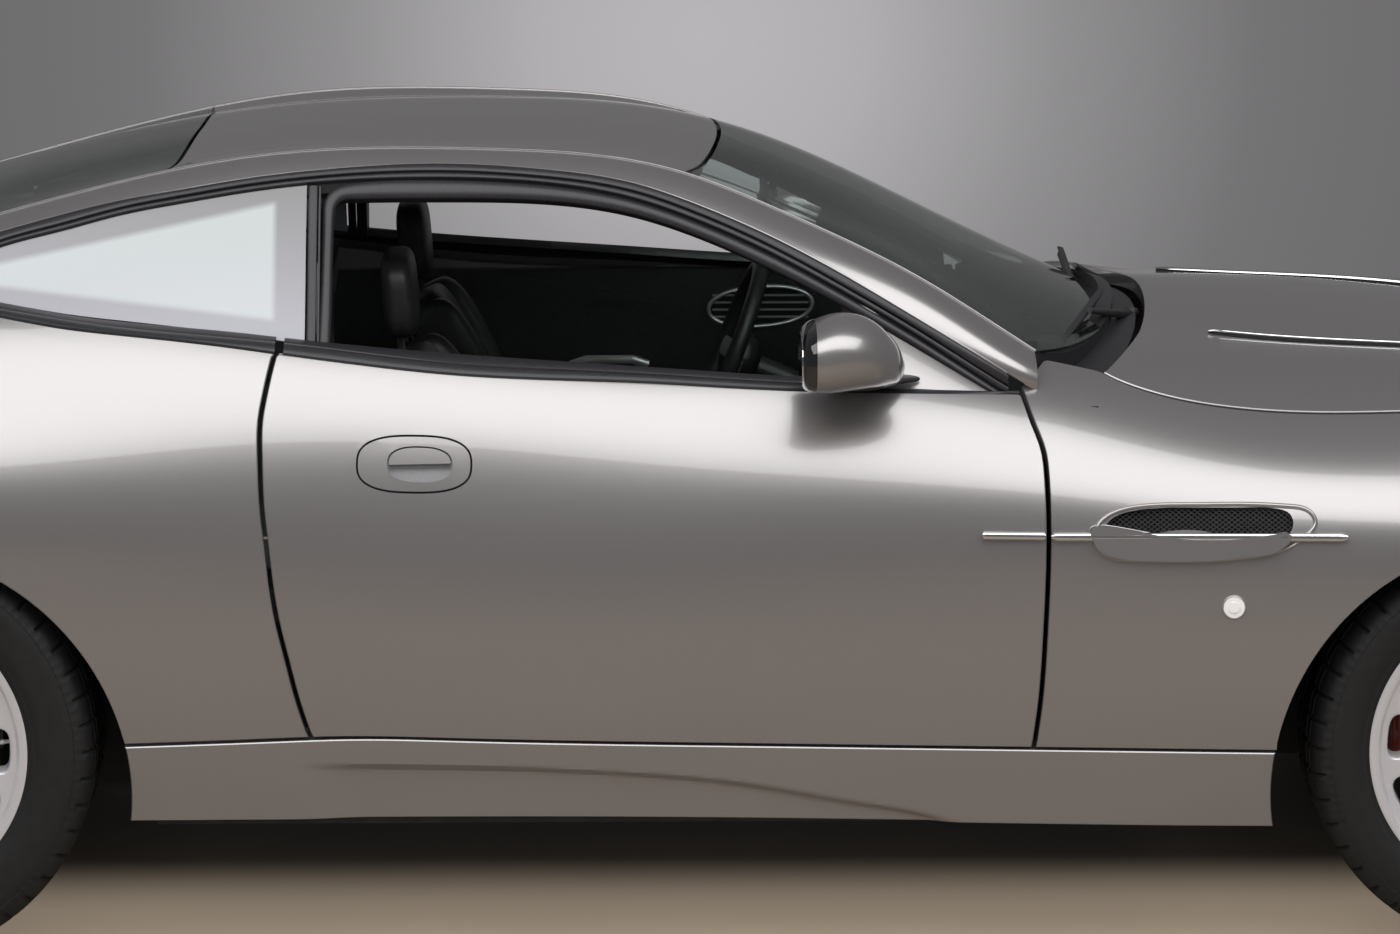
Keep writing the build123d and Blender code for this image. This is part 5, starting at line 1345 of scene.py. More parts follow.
def window_reach(heading):
    """How far a rounded window reaches from its middle in each direction, off the radial line."""
    low, high = np.zeros_like(heading), np.full_like(heading, 90.0)
    for _ in range(30):
        reach = (low + high) / 2
        across, out = np.abs(reach * np.sin(heading)), reach * np.cos(heading)
        filled = (across / (33 + 0.24 * out)) ** 4.5 + np.abs(out / WINDOW_HALF) ** 4.5 < 1
        low, high = np.where(filled, reach, low), np.where(filled, high, reach)
    return low


def spoked_plate(centre, side, half, phase):
    """The rim's face: a plate with twelve rounded windows whose edges roll into deep walls."""
    pitch = math.pi / WINDOW_COUNT
    arc = np.linspace(-pitch, pitch, 13)
    edge = np.linspace(PLATE_EDGE, HUB_EDGE, 11)
    inner_arc = np.linspace(pitch, -pitch, 7)
    theta = np.concatenate([arc, np.full(9, pitch), inner_arc, np.full(9, -pitch)])
    radius = np.concatenate([np.full(13, PLATE_EDGE), edge[1:-1], np.full(7, HUB_EDGE), edge[-2:0:-1]])
    outer = np.stack([theta * radius, radius - WINDOW_MIDDLE], axis=-1)
    heading = np.arctan2(outer[:, 0], outer[:, 1])
    reach = window_reach(heading)
    way = np.stack([np.sin(heading), np.cos(heading)], axis=-1)

    def face(out):
        return half - np.interp(out + WINDOW_MIDDLE, (78, 130, 190, 218, 230), (27, 24, 19, 14.5, 12.5))

    rows = []
    for share in (0, 0.35, 0.7, 1):
        points = outer + (way * reach[:, None] - outer) * share
        rows.append((points, face(points[:, 1])))
    for inset, drop in ((1.2, 0.4), (3.4, 2.2), (5.0, 5.5), (6.0, 12), (9.0, 36)):
        points = way * (reach - inset)[:, None]
        rows.append((points, face(points[:, 1]) - drop))
    rows.append((way * (reach + 1)[:, None], face(way[:, 1] * reach) - 38))
    rows.append((outer, face(outer[:, 1]) - 26))
    count = len(outer)
    verts, faces = [], []
    for sector in range(WINDOW_COUNT):
        start = len(verts)
        for points, height in rows:
            r = points[:, 1] + WINDOW_MIDDLE
            turn = points[:, 0] / r + 2 * pitch * sector + math.radians(phase)
            verts += [(centre[0] + a * math.cos(t), centre[1] + side * h, centre[2] + a * math.sin(t))
                      for a, t, h in zip(r, turn, height)]
        for k in range(len(rows) - 1):
            faces += [(start + k * count + j, start + k * count + (j + 1) % count,
                       start + (k + 1) * count + (j + 1) % count, start + (k + 1) * count + j)
                      for j in range(count)]
        last = start + (len(rows) - 1) * count
        for j in list(range(12)) + list(range(22, 28)):
            faces.append((last + j, last + j + 1, start + j + 1, start + j))
    return outward(*weld((verts, faces)))


def wheel_bolts(centre, side, half, phase):
    """Bolt heads round the hub, each on a washer and a spigot."""
    parts = []
    for k in range(BOLT_COUNT):
        turn = math.radians(FIRST_BOLT + 360 / BOLT_COUNT * k + phase)
        x, z = centre[0] + BOLT_CIRCLE * math.cos(turn), centre[2] + BOLT_CIRCLE * math.sin(turn)
        for low, high, radius, end, sides in ((36, 23, 15, 13, 16), (24, 12, 10.5, 10, 6),
                                              (12.2, 10, 10, 6, 6)):
            parts.append(rod((x, centre[1] + side * (half - low), z),
                             (x, centre[1] + side * (half - high), z),
                             radius, sides, end))
    return joined(*parts)


def tyre_shape(centre, side, half, radius, steps=384, pitch=8):
    """A tyre with a smooth wall, a ring of fine ribs, shoulder grooves and four grooves round the tread."""
    wall = [(236, half - 30), (241, half - 20), (249, half - 15.5), (254.5, half - 14), (259, half - 8),
            (263, half - 5),
            (272, half - 1.6), (284, half - 0.2), (radius - 46, half - 0.4), (radius - 38, half - 1.4),
            (radius - 31, half - 3.2), (radius - 30, half - 2.4), (radius - 26, half - 4.0),
            (radius - 20, half - 7),
            (radius - 15, half - 10.5), (radius - 11, half - 15), (radius - 6.5, half - 22),
            (radius - 3, half - 31),
            (radius - 1.2, half - 40)]
    tread = []
    for at in (54, 90):
        tread += [(radius - 0.5, half - at + 5), (radius - 7, half - at + 3.5),
                  (radius - 7, half - at - 3.5),
                  (radius - 0.3, half - at - 5)]
    right = wall + tread
    profile = np.array(right + [(r, -w) for r, w in reversed(right)])
    turn = np.arange(steps) * 2 * math.pi / steps
    radii = np.broadcast_to(profile[:, 0], (steps, len(profile))).copy()
    out = np.broadcast_to(profile[:, 1], (steps, len(profile))).copy()
    slot = (np.arange(steps) % pitch == 0)[:, None]
    fine = (np.arange(steps) % 3 == 0)[:, None]
    across = np.abs(profile[:, 1])
    shoulder = (profile[:, 0] > radius - 16) & (across > half - 48)
    blocks = (across < half - 58) & (profile[:, 0] > radius - 1)
    ribs = (profile[:, 0] > radius - 31.5) & (profile[:, 0] < radius - 17)
    radii -= np.where(slot & (shoulder | blocks)[None], 4.5, 0)
    out -= np.where(slot & shoulder[None], 2.5, 0) * np.sign(profile[:, 1])
    out -= np.where(fine & ribs[None], 1.3, 0) * np.sign(profile[:, 1])
    x, z = centre[0] + radii * np.cos(turn)[:, None], centre[2] + radii * np.sin(turn)[:, None]
    verts = [tuple(p) for p in np.stack([x, centre[1] + side * out, z], axis=-1).reshape(-1, 3)]
    count = len(profile)
    faces = []
    for i in range(steps):
        n = (i + 1) % steps
        faces += [(i * count + k, i * count + (k + 1) % count, n * count + (k + 1) % count, n * count + k)
                  for k in range(count)]
    return outward(verts, faces)


for wheel, wheel_centre, rim_half, tyre_half, wheel_phase in WHEELS:
    wheel_side = 1 if wheel_centre[1] > 0 else -1
    wheel_radius = wheel_centre[2]
    barrel = lathe([(228, rim_half - 14), (230, rim_half - 9), (234, rim_half - 3), (240, rim_half - 0.6),
                    (246, rim_half - 0.3), (249, rim_half - 1.8), (250, rim_half - 5), (249, rim_half - 8),
                    (240, rim_half - 12), (237, rim_half - 30), (232, rim_half - 50), (229, 0),
                    (237, 24 - rim_half),
                    (238, 12 - rim_half), (249, 8 - rim_half), (250, 4 - rim_half), (247, 0.6 - rim_half),
                    (240, 1 - rim_half), (232, 12 - rim_half), (224, -10), (222, rim_half - 60),
                    (229, rim_half - 40)],
                   wheel_centre, 144, wheel_side)
    hub = lathe([(0.4, rim_half - 17), (14, rim_half - 17.6), (25, rim_half - 20), (29, rim_half - 24),
                 (30, rim_half - 30), (33, rim_half - 31), (36, rim_half - 27), (44, rim_half - 25.5),
                 (70, rim_half - 26), (79, rim_half - 27.4), (79, rim_half - 50), (77, -20), (0.4, -20)],
                wheel_centre, 72, wheel_side)
    plate = spoked_plate(wheel_centre, wheel_side, rim_half, wheel_phase)
    finish_mesh(f"rim_{wheel}_face", *joined(barrel, hub, plate), "alloy", f"wheel_{wheel}",
                (f"rim_{wheel}",), 34)
    stem_turn = math.radians(wheel_phase + (3 if wheel_radius > 350 else 214))
    stem = [(wheel_centre[0] + r * math.cos(stem_turn), wheel_centre[1] + wheel_side * (rim_half - d),
             wheel_centre[2] + r * math.sin(stem_turn)) for r, d in ((226, 46), (206, 38), (190, 32))]
    valve = joined(rod(stem[0], stem[1], 3.6, 10), rod(stem[1], stem[2], 4.6, 10, 4.0))
    bolts = joined(wheel_bolts(wheel_centre, wheel_side, rim_half, wheel_phase), valve)
    finish_mesh(f"wheel_bolts_{wheel}", *bolts, "bright_trim", f"wheel_{wheel}")
    finish_mesh(f"tyre_{wheel}_tread", *tyre_shape(wheel_centre, wheel_side, tyre_half, wheel_radius),
                "tyre",
                f"wheel_{wheel}", (f"tyre_{wheel}",), 40)
    # the brake: a vented disc on the wheel and a dark red caliper on the hub carrier
    disc_out, disc_in = DISC_FACES
    disc = lathe([(64, disc_out), (86, disc_out), (90, disc_out - 6), (104, disc_out - 6),
                  (107, disc_out - 0.3),
                  (176, disc_out - 0.3), (178, disc_out - 2), (178, disc_out - 8.5), (168, disc_out - 9),
                  (168, disc_in + 9), (178, disc_in + 8.5), (178, disc_in + 2), (176, disc_in + 0.3),
                  (104, disc_in + 0.3),
                  (100, disc_in + 4), (64, disc_in + 4)], wheel_centre, 96, wheel_side)
    finish_mesh(f"brake_disc_{wheel}_face", *disc, "disc_iron", f"wheel_{wheel}", (f"brake_disc_{wheel}",))
    x, y, z = wheel_centre

    def beside(low, high, chamfer):
        """A block given by x and z off the axle and by distance outboard of the wheel's centre plane."""
        ys = sorted((y + wheel_side * low[1], y + wheel_side * high[1]))
        return block((x + low[0], ys[0], z + low[2]), (x + high[0], ys[1], z + high[2]), chamfer)

    caliper = joined(beside((-201, disc_out + 6, -64), (-116, disc_out + 27, 64), 9),
                     beside((-190, disc_out + 22, -52), (-126, disc_out + 34, -6), 8),
                     beside((-190, disc_out + 22, 6), (-126, disc_out + 34, 52), 8),
                     beside((-207, disc_in - 20, -44), (-184, disc_out + 20, 44), 6))
    carrier = f"knuckle_{wheel}" if wheel.startswith("front") else "body"
    finish_mesh(f"brake_caliper_{wheel}", *caliper, "caliper", carrier)


# ---------------------------------------------------------------- seats and cabin
def pillow(half, place, power=4.5, count=20):
    """A rounded, crowned block: a cube's faces pushed out to a squarish ellipsoid, then placed."""
    t = np.tan(np.linspace(-1, 1, count + 1) * math.pi / 4)
    a, b = np.meshgrid(t, t, indexing="ij")
    verts, faces = [], []
    for axis in range(3):
        for sign in (-1, 1):
            cube = np.zeros(a.shape + (3,))
            cube[..., axis], cube[..., (axis + 1) % 3], cube[..., (axis + 2) % 3] = sign, a, b
            reach = np.sum(np.abs(cube) ** power, axis=-1, keepdims=True) ** (1 / power)
            start = len(verts)
            verts += [tuple(p) for p in place(cube / reach * np.asarray(half, float)).reshape(-1, 3)]
            n = count + 1
            for i in range(count):
                for j in range(count):
                    quad = (start + i * n + j, start + (i + 1) * n + j, start + (i + 1) * n + j + 1,
                            start + i * n + j + 1)
                    faces.append(quad[::sign])
    return outward(*weld((verts, faces)))


def leaning(origin, tilt):
    """Places points by an origin and a lean in degrees; z is the cushion's thickness."""
    a = math.radians(tilt)
    frame_axes = np.array([[math.cos(a), 0, math.sin(a)], [0, 1, 0], [-math.sin(a), 0, math.cos(a)]])

    def place(points):
        return np.asarray(origin, float) + points @ frame_axes

    return place


CLOTH_STEPS, CLOTH_PRESSURE, FURTHEST_MOVE = 20, 4.0, 24.0
REMESH = 6.0


def puffed(name, part, held):
    """The part as a cloth skin blown up a little; held says which points (mm) stay where they are."""
    verts, faces = part
    mesh = bpy.data.meshes.new(name)
    mesh.from_pydata([tuple(float(c) * MM for c in v) for v in verts], [],
                     [tuple(int(i) for i in f) for f in faces])
    soft = bpy.data.objects.new(name, mesh)
    bpy.context.scene.collection.objects.link(soft)
    remesh = soft.modifiers.new("remesh", "REMESH")
    remesh.mode = "VOXEL"
    remesh.voxel_size = REMESH * MM
    bpy.context.view_layer.update()
    fine = bpy.data.meshes.new_from_object(soft.evaluated_get(bpy.context.evaluated_depsgraph_get()))
    soft.modifiers.remove(remesh)
    soft.data = fine
    start = np.array([v.co[:] for v in fine.vertices]) / MM
    pins = soft.vertex_groups.new(name="pins")
    pins.add([int(i) for i in np.nonzero(held(start))[0]], 1.0, "REPLACE")
    cloth = soft.modifiers.new("cloth", "CLOTH")
    cloth.settings.use_pressure = True
    cloth.settings.uniform_pressure_force = CLOTH_PRESSURE
    cloth.settings.vertex_group_mass = "pins"
    cloth.settings.effector_weights.gravity = 0
    cloth.settings.quality = 5
    cloth.point_cache.frame_start, cloth.point_cache.frame_end = 1, CLOTH_STEPS
    scene = bpy.context.scene
    for step_number in range(1, CLOTH_STEPS + 1):
        scene.frame_set(step_number)
    moved_mesh = bpy.data.meshes.new_from_object(soft.evaluated_get(bpy.context.evaluated_depsgraph_get()))
    moved = np.array([v.co[:] for v in moved_mesh.vertices]) / MM
    shift = moved - start
    length = np.maximum(np.linalg.norm(shift, axis=1, keepdims=True), 1e-9)
    moved = start + shift * np.minimum(1, FURTHEST_MOVE / length)
    out = [tuple(p) for p in moved], [tuple(p.vertices) for p in moved_mesh.polygons]
    scene.frame_set(1)
    bpy.data.objects.remove(soft)
    return out


def seams(points_list, radius=2.6):
    """Piping along runs of points."""
    return joined(*[sweep(run(p, 60), round_profile(2 * radius, 2 * radius, 8), (0, 0, 1.0))
                    for p in points_list])


SEAT_Y, SEAT_LEAN, BACK_LEAN, HEAD_LEAN = 375.0, -5.4, 116.0, 95.0
BOLSTER_OUT = 149
cushion_at = leaning((30, -SEAT_Y, 447), SEAT_LEAN)
back_at = leaning((-328, -SEAT_Y, 742), BACK_LEAN)
CUSHION_SEAMS, BACK_SEAMS = (-104, 0, 104), (-135, -20, 95)


def held_by(place_at, lines, keep):
    """Marks the points of a cushion's underside and those along its cross seams."""
    origin = place_at(np.zeros(3))
    axes = np.array([place_at(np.eye(3)[k]) - origin for k in range(3)])

    def held(points):
        local = (points - origin) @ axes.T
        near = np.min(np.abs(local[:, :1] - np.array(lines)[None]), axis=1) < 3.5
        return (local[:, 2] < keep) | near

    return held


for label, half, place_at, lines in (("cushion", (196, 112, 46), cushion_at, CUSHION_SEAMS),
                                     ("back", (214, 112, 44), back_at, BACK_SEAMS)):
    panel = pillow(half, place_at, 5.5, 24)
    panel = puffed(f"soft_{label}", panel, held_by(place_at, lines, 8))
    for side_name, shape in (("right", panel), ("left", mirrored(panel))):
        piece = finish_mesh(f"seat_{label}_{side_name}", *shape, "leather_black", "body", (), 60)

bolster_ys = (-SEAT_Y - BOLSTER_OUT, -SEAT_Y + BOLSTER_OUT)
for label, half, place_at in (
        ("cushion_bolsters", (200, 37, 55), [leaning((30, y, 452), SEAT_LEAN) for y in bolster_ys]),
        ("back_bolsters", (214, 37, 58), [leaning((-318, y, 742), BACK_LEAN) for y in bolster_ys]),
        ("headrest", (72, 118, 30), [leaning((-437, -SEAT_Y, 1036), HEAD_LEAN)])):
    parts = joined(*[pillow(half, at, 4.0 if "head" in label else 3.6, 12) for at in place_at])
    for side_name, shape in (("right", parts), ("left", mirrored(parts))):
        piece = finish_mesh(f"seat_{label}_{side_name}", *shape, "leather_black", "body", (), 60)

seat_base = joined(block((-270, -SEAT_Y - 168, 302), (216, -SEAT_Y + 168, 398), 12),
                   block((-330, -SEAT_Y - 150, 380), (-250, -SEAT_Y + 150, 470), 14),
                   *[rod((-432, -SEAT_Y + y, 940), (-440, -SEAT_Y + y, 1000), 6, 10) for y in (-60, 60)])
finish_mesh("seat_bases", *both(seat_base), "carpet_black", "body", ("front_seats",))
piping = []
for y in (-SEAT_Y - 113, -SEAT_Y + 113):
    piping.append([(x, y, float(cushion_at(np.array([x - 30, 0, 47.0]))[2]) - 1)
                   for x in np.linspace(-140, 205, 12)])
    piping.append([tuple(back_at(np.array([u, y + SEAT_Y, 45.0]))) for u in np.linspace(-195, 195, 12)])
finish_mesh("seat_piping", *both(seams(piping)), "silver_plastic", "body")

rear_parts = []
for y in (-300, 300):
    rear_parts += [pillow((88, 255, 52), leaning((-868, y, 412), -3), 4.0, 12),
                   pillow((190, 250, 42), leaning((-1018, y, 640), 106), 4.0, 12)]
finish_mesh("rear_seat_cushions", *joined(*rear_parts), "leather_black", "body", ("rear_seats",), 60)

# dashboard rolls, binnacle, gauge rings, centre stack and the interior mirror
TRIM_Y = 758.0
dash_roll = [sweep(run([(568, -688, 872), (556, -400, 884), (552, 0, 886), (556, 400, 884),
                        (568, 688, 872)], 60),
                   round_profile(76, 30, 16), (0, 0, 1)),
             sweep(run([(372, -680, 800), (366, 0, 806), (372, 680, 800)], 50), round_profile(22, 44, 14),
                   (0, 0, 1)),
             pillow((92, 165, 34), leaning((448, 375, 880), 0), 3.2, 16)]
finish_mesh("dashboard_rolls", *joined(*dash_roll), "leather_black", "body", (), 50)
gauges = [spun([(r, 0), (r + 3, 0), (r + 3, 7), (r, 7)], (352, 375 + y, 842), (-1, 0, 0.12), 36)
          for y, r in ((-70, 40), (22, 40), (95, 26))]
finish_mesh("gauge_rings", *joined(*gauges), "bright_trim", "body")
centre_bits = [block((322, -82, 664), (338, 82, 796), 5), block((-60, -74, 596), (300, 74, 606), 4),
               rod((150, 0, 600), (146, 0, 672), 9, 16, 7), rod((146, 0, 668), (145, 0, 700), 20, 20, 17)]
finish_mesh("centre_stack", *joined(*centre_bits), "silver_plastic", "body")
mirror_face = pillow((7, 118, 24), leaning((196, 0, 1156), 0), 3.2, 14)
stalk = rod((206, 0, 1160), (238, 0, 1214), 7, 12, 10)
finish_mesh("interior_mirror", *joined(mirror_face, stalk), "black_plastic", "body", (), 50)

# the door's inner face: swooping ridge, a lower bar, oval bezel with louvres and pull
def on_trim(points, off=0.0):
    """Points on the right door's inner trim from (x, z) pairs, a distance into the cabin."""
    points = np.asarray(points, float)
    return np.stack([points[..., 0], np.full(points.shape[:-1], -(TRIM_Y - off)), points[..., 1]], axis=-1)


SWOOP = line(((-420, 905), (-287, 899), (-93, 877), (24, 847), (131, 810), (190, 770), (215, 700)))
swoop_track = SWOOP(np.linspace(0, 1, 70))
trim_bits = joined(ridge(on_trim(swoop_track - (0, 11)), on_trim(swoop_track + (0, 11)), 13, 3, 8, 2.0),
                   sweep(run(on_trim([(-470, 700), (-200, 690), (60, 676), (180, 640)], 6), 40),
                         round_profile(16, 52, 14),
                         (0, 0, 1)))
BEZEL = oval((218, 852), 105, 43, 72, 2.2, 4)
bezel = loop_bead(BEZEL, on_trim, 9, 8, 2, 8)
grid_face = inlay(BEZEL, on_trim, 1.5, 2)
louvres = joined(*[ridge(on_trim(np.stack([np.linspace(125, 311, 12), np.full(12, z - 2.0)], -1), 2),
                         on_trim(np.stack([np.linspace(125, 311, 12), np.full(12, z + 2.0)], -1), 2), 5, 1,
                         4)
                   for z in (832, 846, 860, 874)])
pull = sweep(run(on_trim([(-150, 742), (-120, 752), (-30, 752), (0, 742)], 26), 30),
             round_profile(14, 18, 12), (0, 0, 1))


pair("door_trim_swoop", outward(*trim_bits), "leather_black", "door_{}", smooth=50)
pair("door_trim_bezel", outward(*joined(bezel, louvres, pull)), "silver_plastic", "door_{}", smooth=50)
pair("door_trim_vent", outward(*grid_face), "gap_black", "door_{}")

# steering wheel: a padded rim, three spokes and a plain boss
WHEEL_AT, WHEEL_RAKE, WHEEL_RADIUS = np.array([141.0, 375.0, 810.0]), math.radians(21), 180.0
wheel_axis = np.array([-math.cos(WHEEL_RAKE), 0, math.sin(WHEEL_RAKE)])
wheel_up = np.array([math.sin(WHEEL_RAKE), 0, math.cos(WHEEL_RAKE)])
wheel_across = np.array([0, 1.0, 0])
RIM_STEPS, GRIP_STEPS, GRIP_RADIUS = 96, 14, 15.5
turn = np.linspace(0, 2 * np.pi, RIM_STEPS + 1)[:-1]
ring = WHEEL_AT + WHEEL_RADIUS * (np.cos(turn)[:, None] * wheel_across + np.sin(turn)[:, None] * wheel_up)
rim_verts, rim_faces = [], []
for k, (point, angle) in enumerate(zip(ring, turn)):
    out = math.cos(angle) * wheel_across + math.sin(angle) * wheel_up
    for s in np.linspace(0, 2 * np.pi, GRIP_STEPS + 1)[:-1]:
        rim_verts.append(tuple(point + GRIP_RADIUS * (math.cos(s) * out + math.sin(s) * wheel_axis)))
for k in range(RIM_STEPS):
    near, far = k * GRIP_STEPS, (k + 1) % RIM_STEPS * GRIP_STEPS
    rim_faces += [(near + j, near + (j + 1) % GRIP_STEPS, far + (j + 1) % GRIP_STEPS, far + j)
                  for j in range(GRIP_STEPS)]
finish_mesh("steering_wheel_rim", *outward(rim_verts, rim_faces), "leather_black", "steering_wheel",
            ("steering_wheel",), 60)
spokes = []
for angle in (0.0, math.pi, -math.pi / 2):
    out = math.cos(angle) * wheel_across + math.sin(angle) * wheel_up
    path = [WHEEL_AT + out * r - wheel_axis * d for r, d in ((30, 26), (80, 22), (130, 10), (168, 0))]
    spokes.append(sweep(run(path, 20), round_profile(38, 10, 14, 3), wheel_axis))
boss = spun([(0.4, 2), (30, 0), (52, -8), (60, -20), (56, -44), (30, -60), (0.4, -60)], WHEEL_AT,
            wheel_axis, 48)
column = spun([(0.4, -58), (26, -58), (24, -150), (0.4, -150)], WHEEL_AT, wheel_axis, 24)
finish_mesh("steering_wheel_spokes", *joined(*spokes), "silver_plastic", "steering_wheel")
finish_mesh("steering_wheel_boss", *joined(boss, column), "leather_black", "steering_wheel", (), 60)


# ---------------------------------------------------------------- nose and tail
NOSE_BULGE, TAIL_BULGE = 30.0, 22.0
NOSE_END, TAIL_END = 2330.0, -2330.0
BONNET_TIP_X, BUMPER_START_X, REAR_BUMPER_START_X = 2143, 1961, -1700
# the bonnet's front edge as (x, y)
NOSE_LINE = np.array([(1957, 700), (2010, 652), (2070, 560), (2110, 430), (2140, 200), (BONNET_TIP_X, 0)],
                     float)


def end_half(loft_x, z):
    """Half width of the body at one end for each z."""
    return BODY.yz(loft_x, BODY.find(loft_x, z, 1, 0, SIDE_TOP))[..., 0]


def nose_x(y, z):
    """The front face's x for each y and z."""
    low, high = (float(BODY.yz(NOSE_END, v)[..., 1]) for v in (0, BODY.top))
    share = np.clip((z - low) / (high - low), 0, 1)
    half = end_half(NOSE_END, np.clip(z, low, 590))
    return NOSE_END + NOSE_BULGE * np.maximum(0, 1 - (y / half) ** 2) * 4 * share * (1 - share)


def tail_x(y, z):
    """The rear face's x for each y and z."""
    low, high = (float(BODY.yz(TAIL_END, v)[..., 1]) for v in (0, BODY.top))
    share = np.clip((z - low) / (high - low), 0, 1)
    half = end_half(TAIL_END, np.clip(z, low, 800))
    return TAIL_END - TAIL_BULGE * np.maximum(0, 1 - (y / half) ** 2) * 4 * share * (1 - share)


def turned(part):
    """A part drawn in (x, z) along y turned to lie along x, its old x becoming y."""
    verts, faces = part
    return outward([(y, x, z) for x, y, z in verts], faces)


# front bumper: the sides in to the nose, then across the front face
share = np.linspace(0, 1, 49)[None, :]
side_x = BUMPER_START_X + (NOSE_END - BUMPER_START_X) * even(48, 0.5)[:, None]
limit = np.interp(side_x, NOSE_LINE[:, 0], NOSE_LINE[:, 1])
limit_v = np.where(side_x >= BONNET_TIP_X, BODY.top, BODY.find(side_x, limit + 0 * side_x, 0, 400))
sides = BODY.points(side_x, limit_v * share, -1)
inward = np.linspace(1, 0, 24)[1:, None]
rim_yz = sides[-1][None, :, 1:]
front_y, front_z = rim_yz[..., 0] * inward, rim_yz[..., 1] + 0 * inward
front = np.stack([nose_x(front_y, front_z), front_y, front_z], axis=-1)
bumper_half = np.concatenate([sides, front])
bumper_grid = np.concatenate([bumper_half, bumper_half[-2::-1] * np.array([1, -1, 1])])
bumper = finish_mesh("front_bumper_skin", *shell(bumper_grid, 14, (1, 0, 0), roll=0.6), "paint", "body",
                     ("front_bumper",))

GRILLE_RUN = closed_run([(-300, 374), (0, 366), (300, 374), (332, 420), (318, 500), (250, 540), (0, 548),
                         (-250, 540),
                         (-318, 500), (-332, 420)], 96)
LAMP_Y, LAMP_Z, LAMP_HALF, LAMP_TILT = 640, 640, (117, 75), 18
LAMP_CUT, GRILLE_CUT = (1930, 2420), (2100, 2420)
LAMP_RUN = {s: oval((s * LAMP_Y, LAMP_Z), *LAMP_HALF, 56, 2.1, s * LAMP_TILT) for s in (-1, 1)}
carve(bumper, turned(prism(GRILLE_RUN, *GRILLE_CUT)))
for lamp_side, outline in LAMP_RUN.items():
    carve(bumper, turned(prism(outline, *LAMP_CUT)))
    carve(wing_piece, turned(prism(outline, *LAMP_CUT)))


def body_end(points, deep, tip):
    """The x between deep and tip at which the body's section stops holding each (y, z) point."""
    y, z = np.abs(points[..., 0]), points[..., 1]
    inner, outer = np.full(y.shape, float(deep)), np.full(y.shape, float(tip))
    for _ in range(24):
        middle = (inner + outer) / 2
        half = BODY.yz(middle, BODY.find(middle, z, 1, 0, SIDE_TOP))[..., 0]
        top = BODY.yz(middle, BODY.find(middle, y, 0, 400))[..., 1]
        held = (half > y) & (top > z)
        inner, outer = np.where(held, middle, inner), np.where(held, outer, middle)
    return inner


def on_nose(points, off=0.0):
    """Points on the nose from (y, z) pairs, round its corner as far as the sides."""
    points = np.asarray(points, float)
    return np.stack([body_end(points, 1900, NOSE_END) + off, points[..., 0], points[..., 1]], axis=-1)


def on_front(points, off=0.0):
    """Points on the front face from (y, z) pairs."""
    points = np.asarray(points, float)
    return np.stack([nose_x(points[..., 0], points[..., 1]) + off, points[..., 0], points[..., 1]], axis=-1)


def on_tail(points, off=0.0):
    """Points on the tail from (y, z) pairs, round its corner as far as the sides."""
    points = np.asarray(points, float)
    y, z = np.abs(points[..., 0]), points[..., 1]
    x = np.where(y < end_half(TAIL_END, z), tail_x(y, z), body_end(points, -2000, TAIL_END))
    return np.stack([x - off, points[..., 0], z], axis=-1)


lens_parts, bowl_parts, rim_parts, lamp_parts = [], [], [], []
for lamp_side, outline in LAMP_RUN.items():
    middle = outline.mean(axis=0)
    lens_parts.append(inlay(middle + (outline - middle) * 0.985, on_nose, -1.0, 3.5, 7))
    rim_parts.append(loop_bead(outline, on_nose, 5, 1.5, 12, 4))
    inner = middle + (outline - middle) * 0.97

    def bowl(points, off=0.0):
        """The lamp's housing: deepest in the middle, meeting the lens at its edge."""
        points = np.asarray(points, float)
        reach = np.linalg.norm((points - middle) / (np.abs(inner - middle).max(axis=0)), axis=-1)
        edge = on_nose(points)
        depth = 14 + 90 * np.clip(1 - reach**4, 0, 1)
        return np.stack([edge[..., 0] - depth - off, points[..., 0], points[..., 1]], axis=-1)

    bowl_parts.append(inlay(inner, bowl, 0.0, 3.0, 9))
    for away, radius in ((-46, 42), (50, 36)):
        at_y, at_z = middle[0] + lamp_side * away, middle[1] - abs(away) * 0.1 * (1 if away > 0 else -1)
        at_x = float(on_nose(np.array([(at_y, at_z)]))[0, 0]) - 26
        origin = (at_x - 66, at_y, at_z)
        lamp_parts.append(spun([(radius, 66), (radius - 3, 66), (radius * 0.72, 40), (radius * 0.3, 22),
                                (3, 20), (3, 16),
                                (radius * 0.34, 18), (radius * 0.78, 36), (radius, 60)], origin, (1, 0, 0),
                               40))
        lamp_parts.append(spun([(0.3, 52), (6, 50), (8, 44), (8, 20), (0.3, 20)], origin, (1, 0, 0), 20))
finish_mesh("headlamp_lenses", *joined(*lens_parts), "lamp_clear", "body", ("headlamps",))
finish_mesh("headlamp_bowls", *joined(*bowl_parts), "black_plastic", "body")
finish_mesh("headlamp_rims", *joined(*rim_parts), "gap_black", "body")
finish_mesh("headlamp_projectors", *joined(*lamp_parts), "alloy", "body")

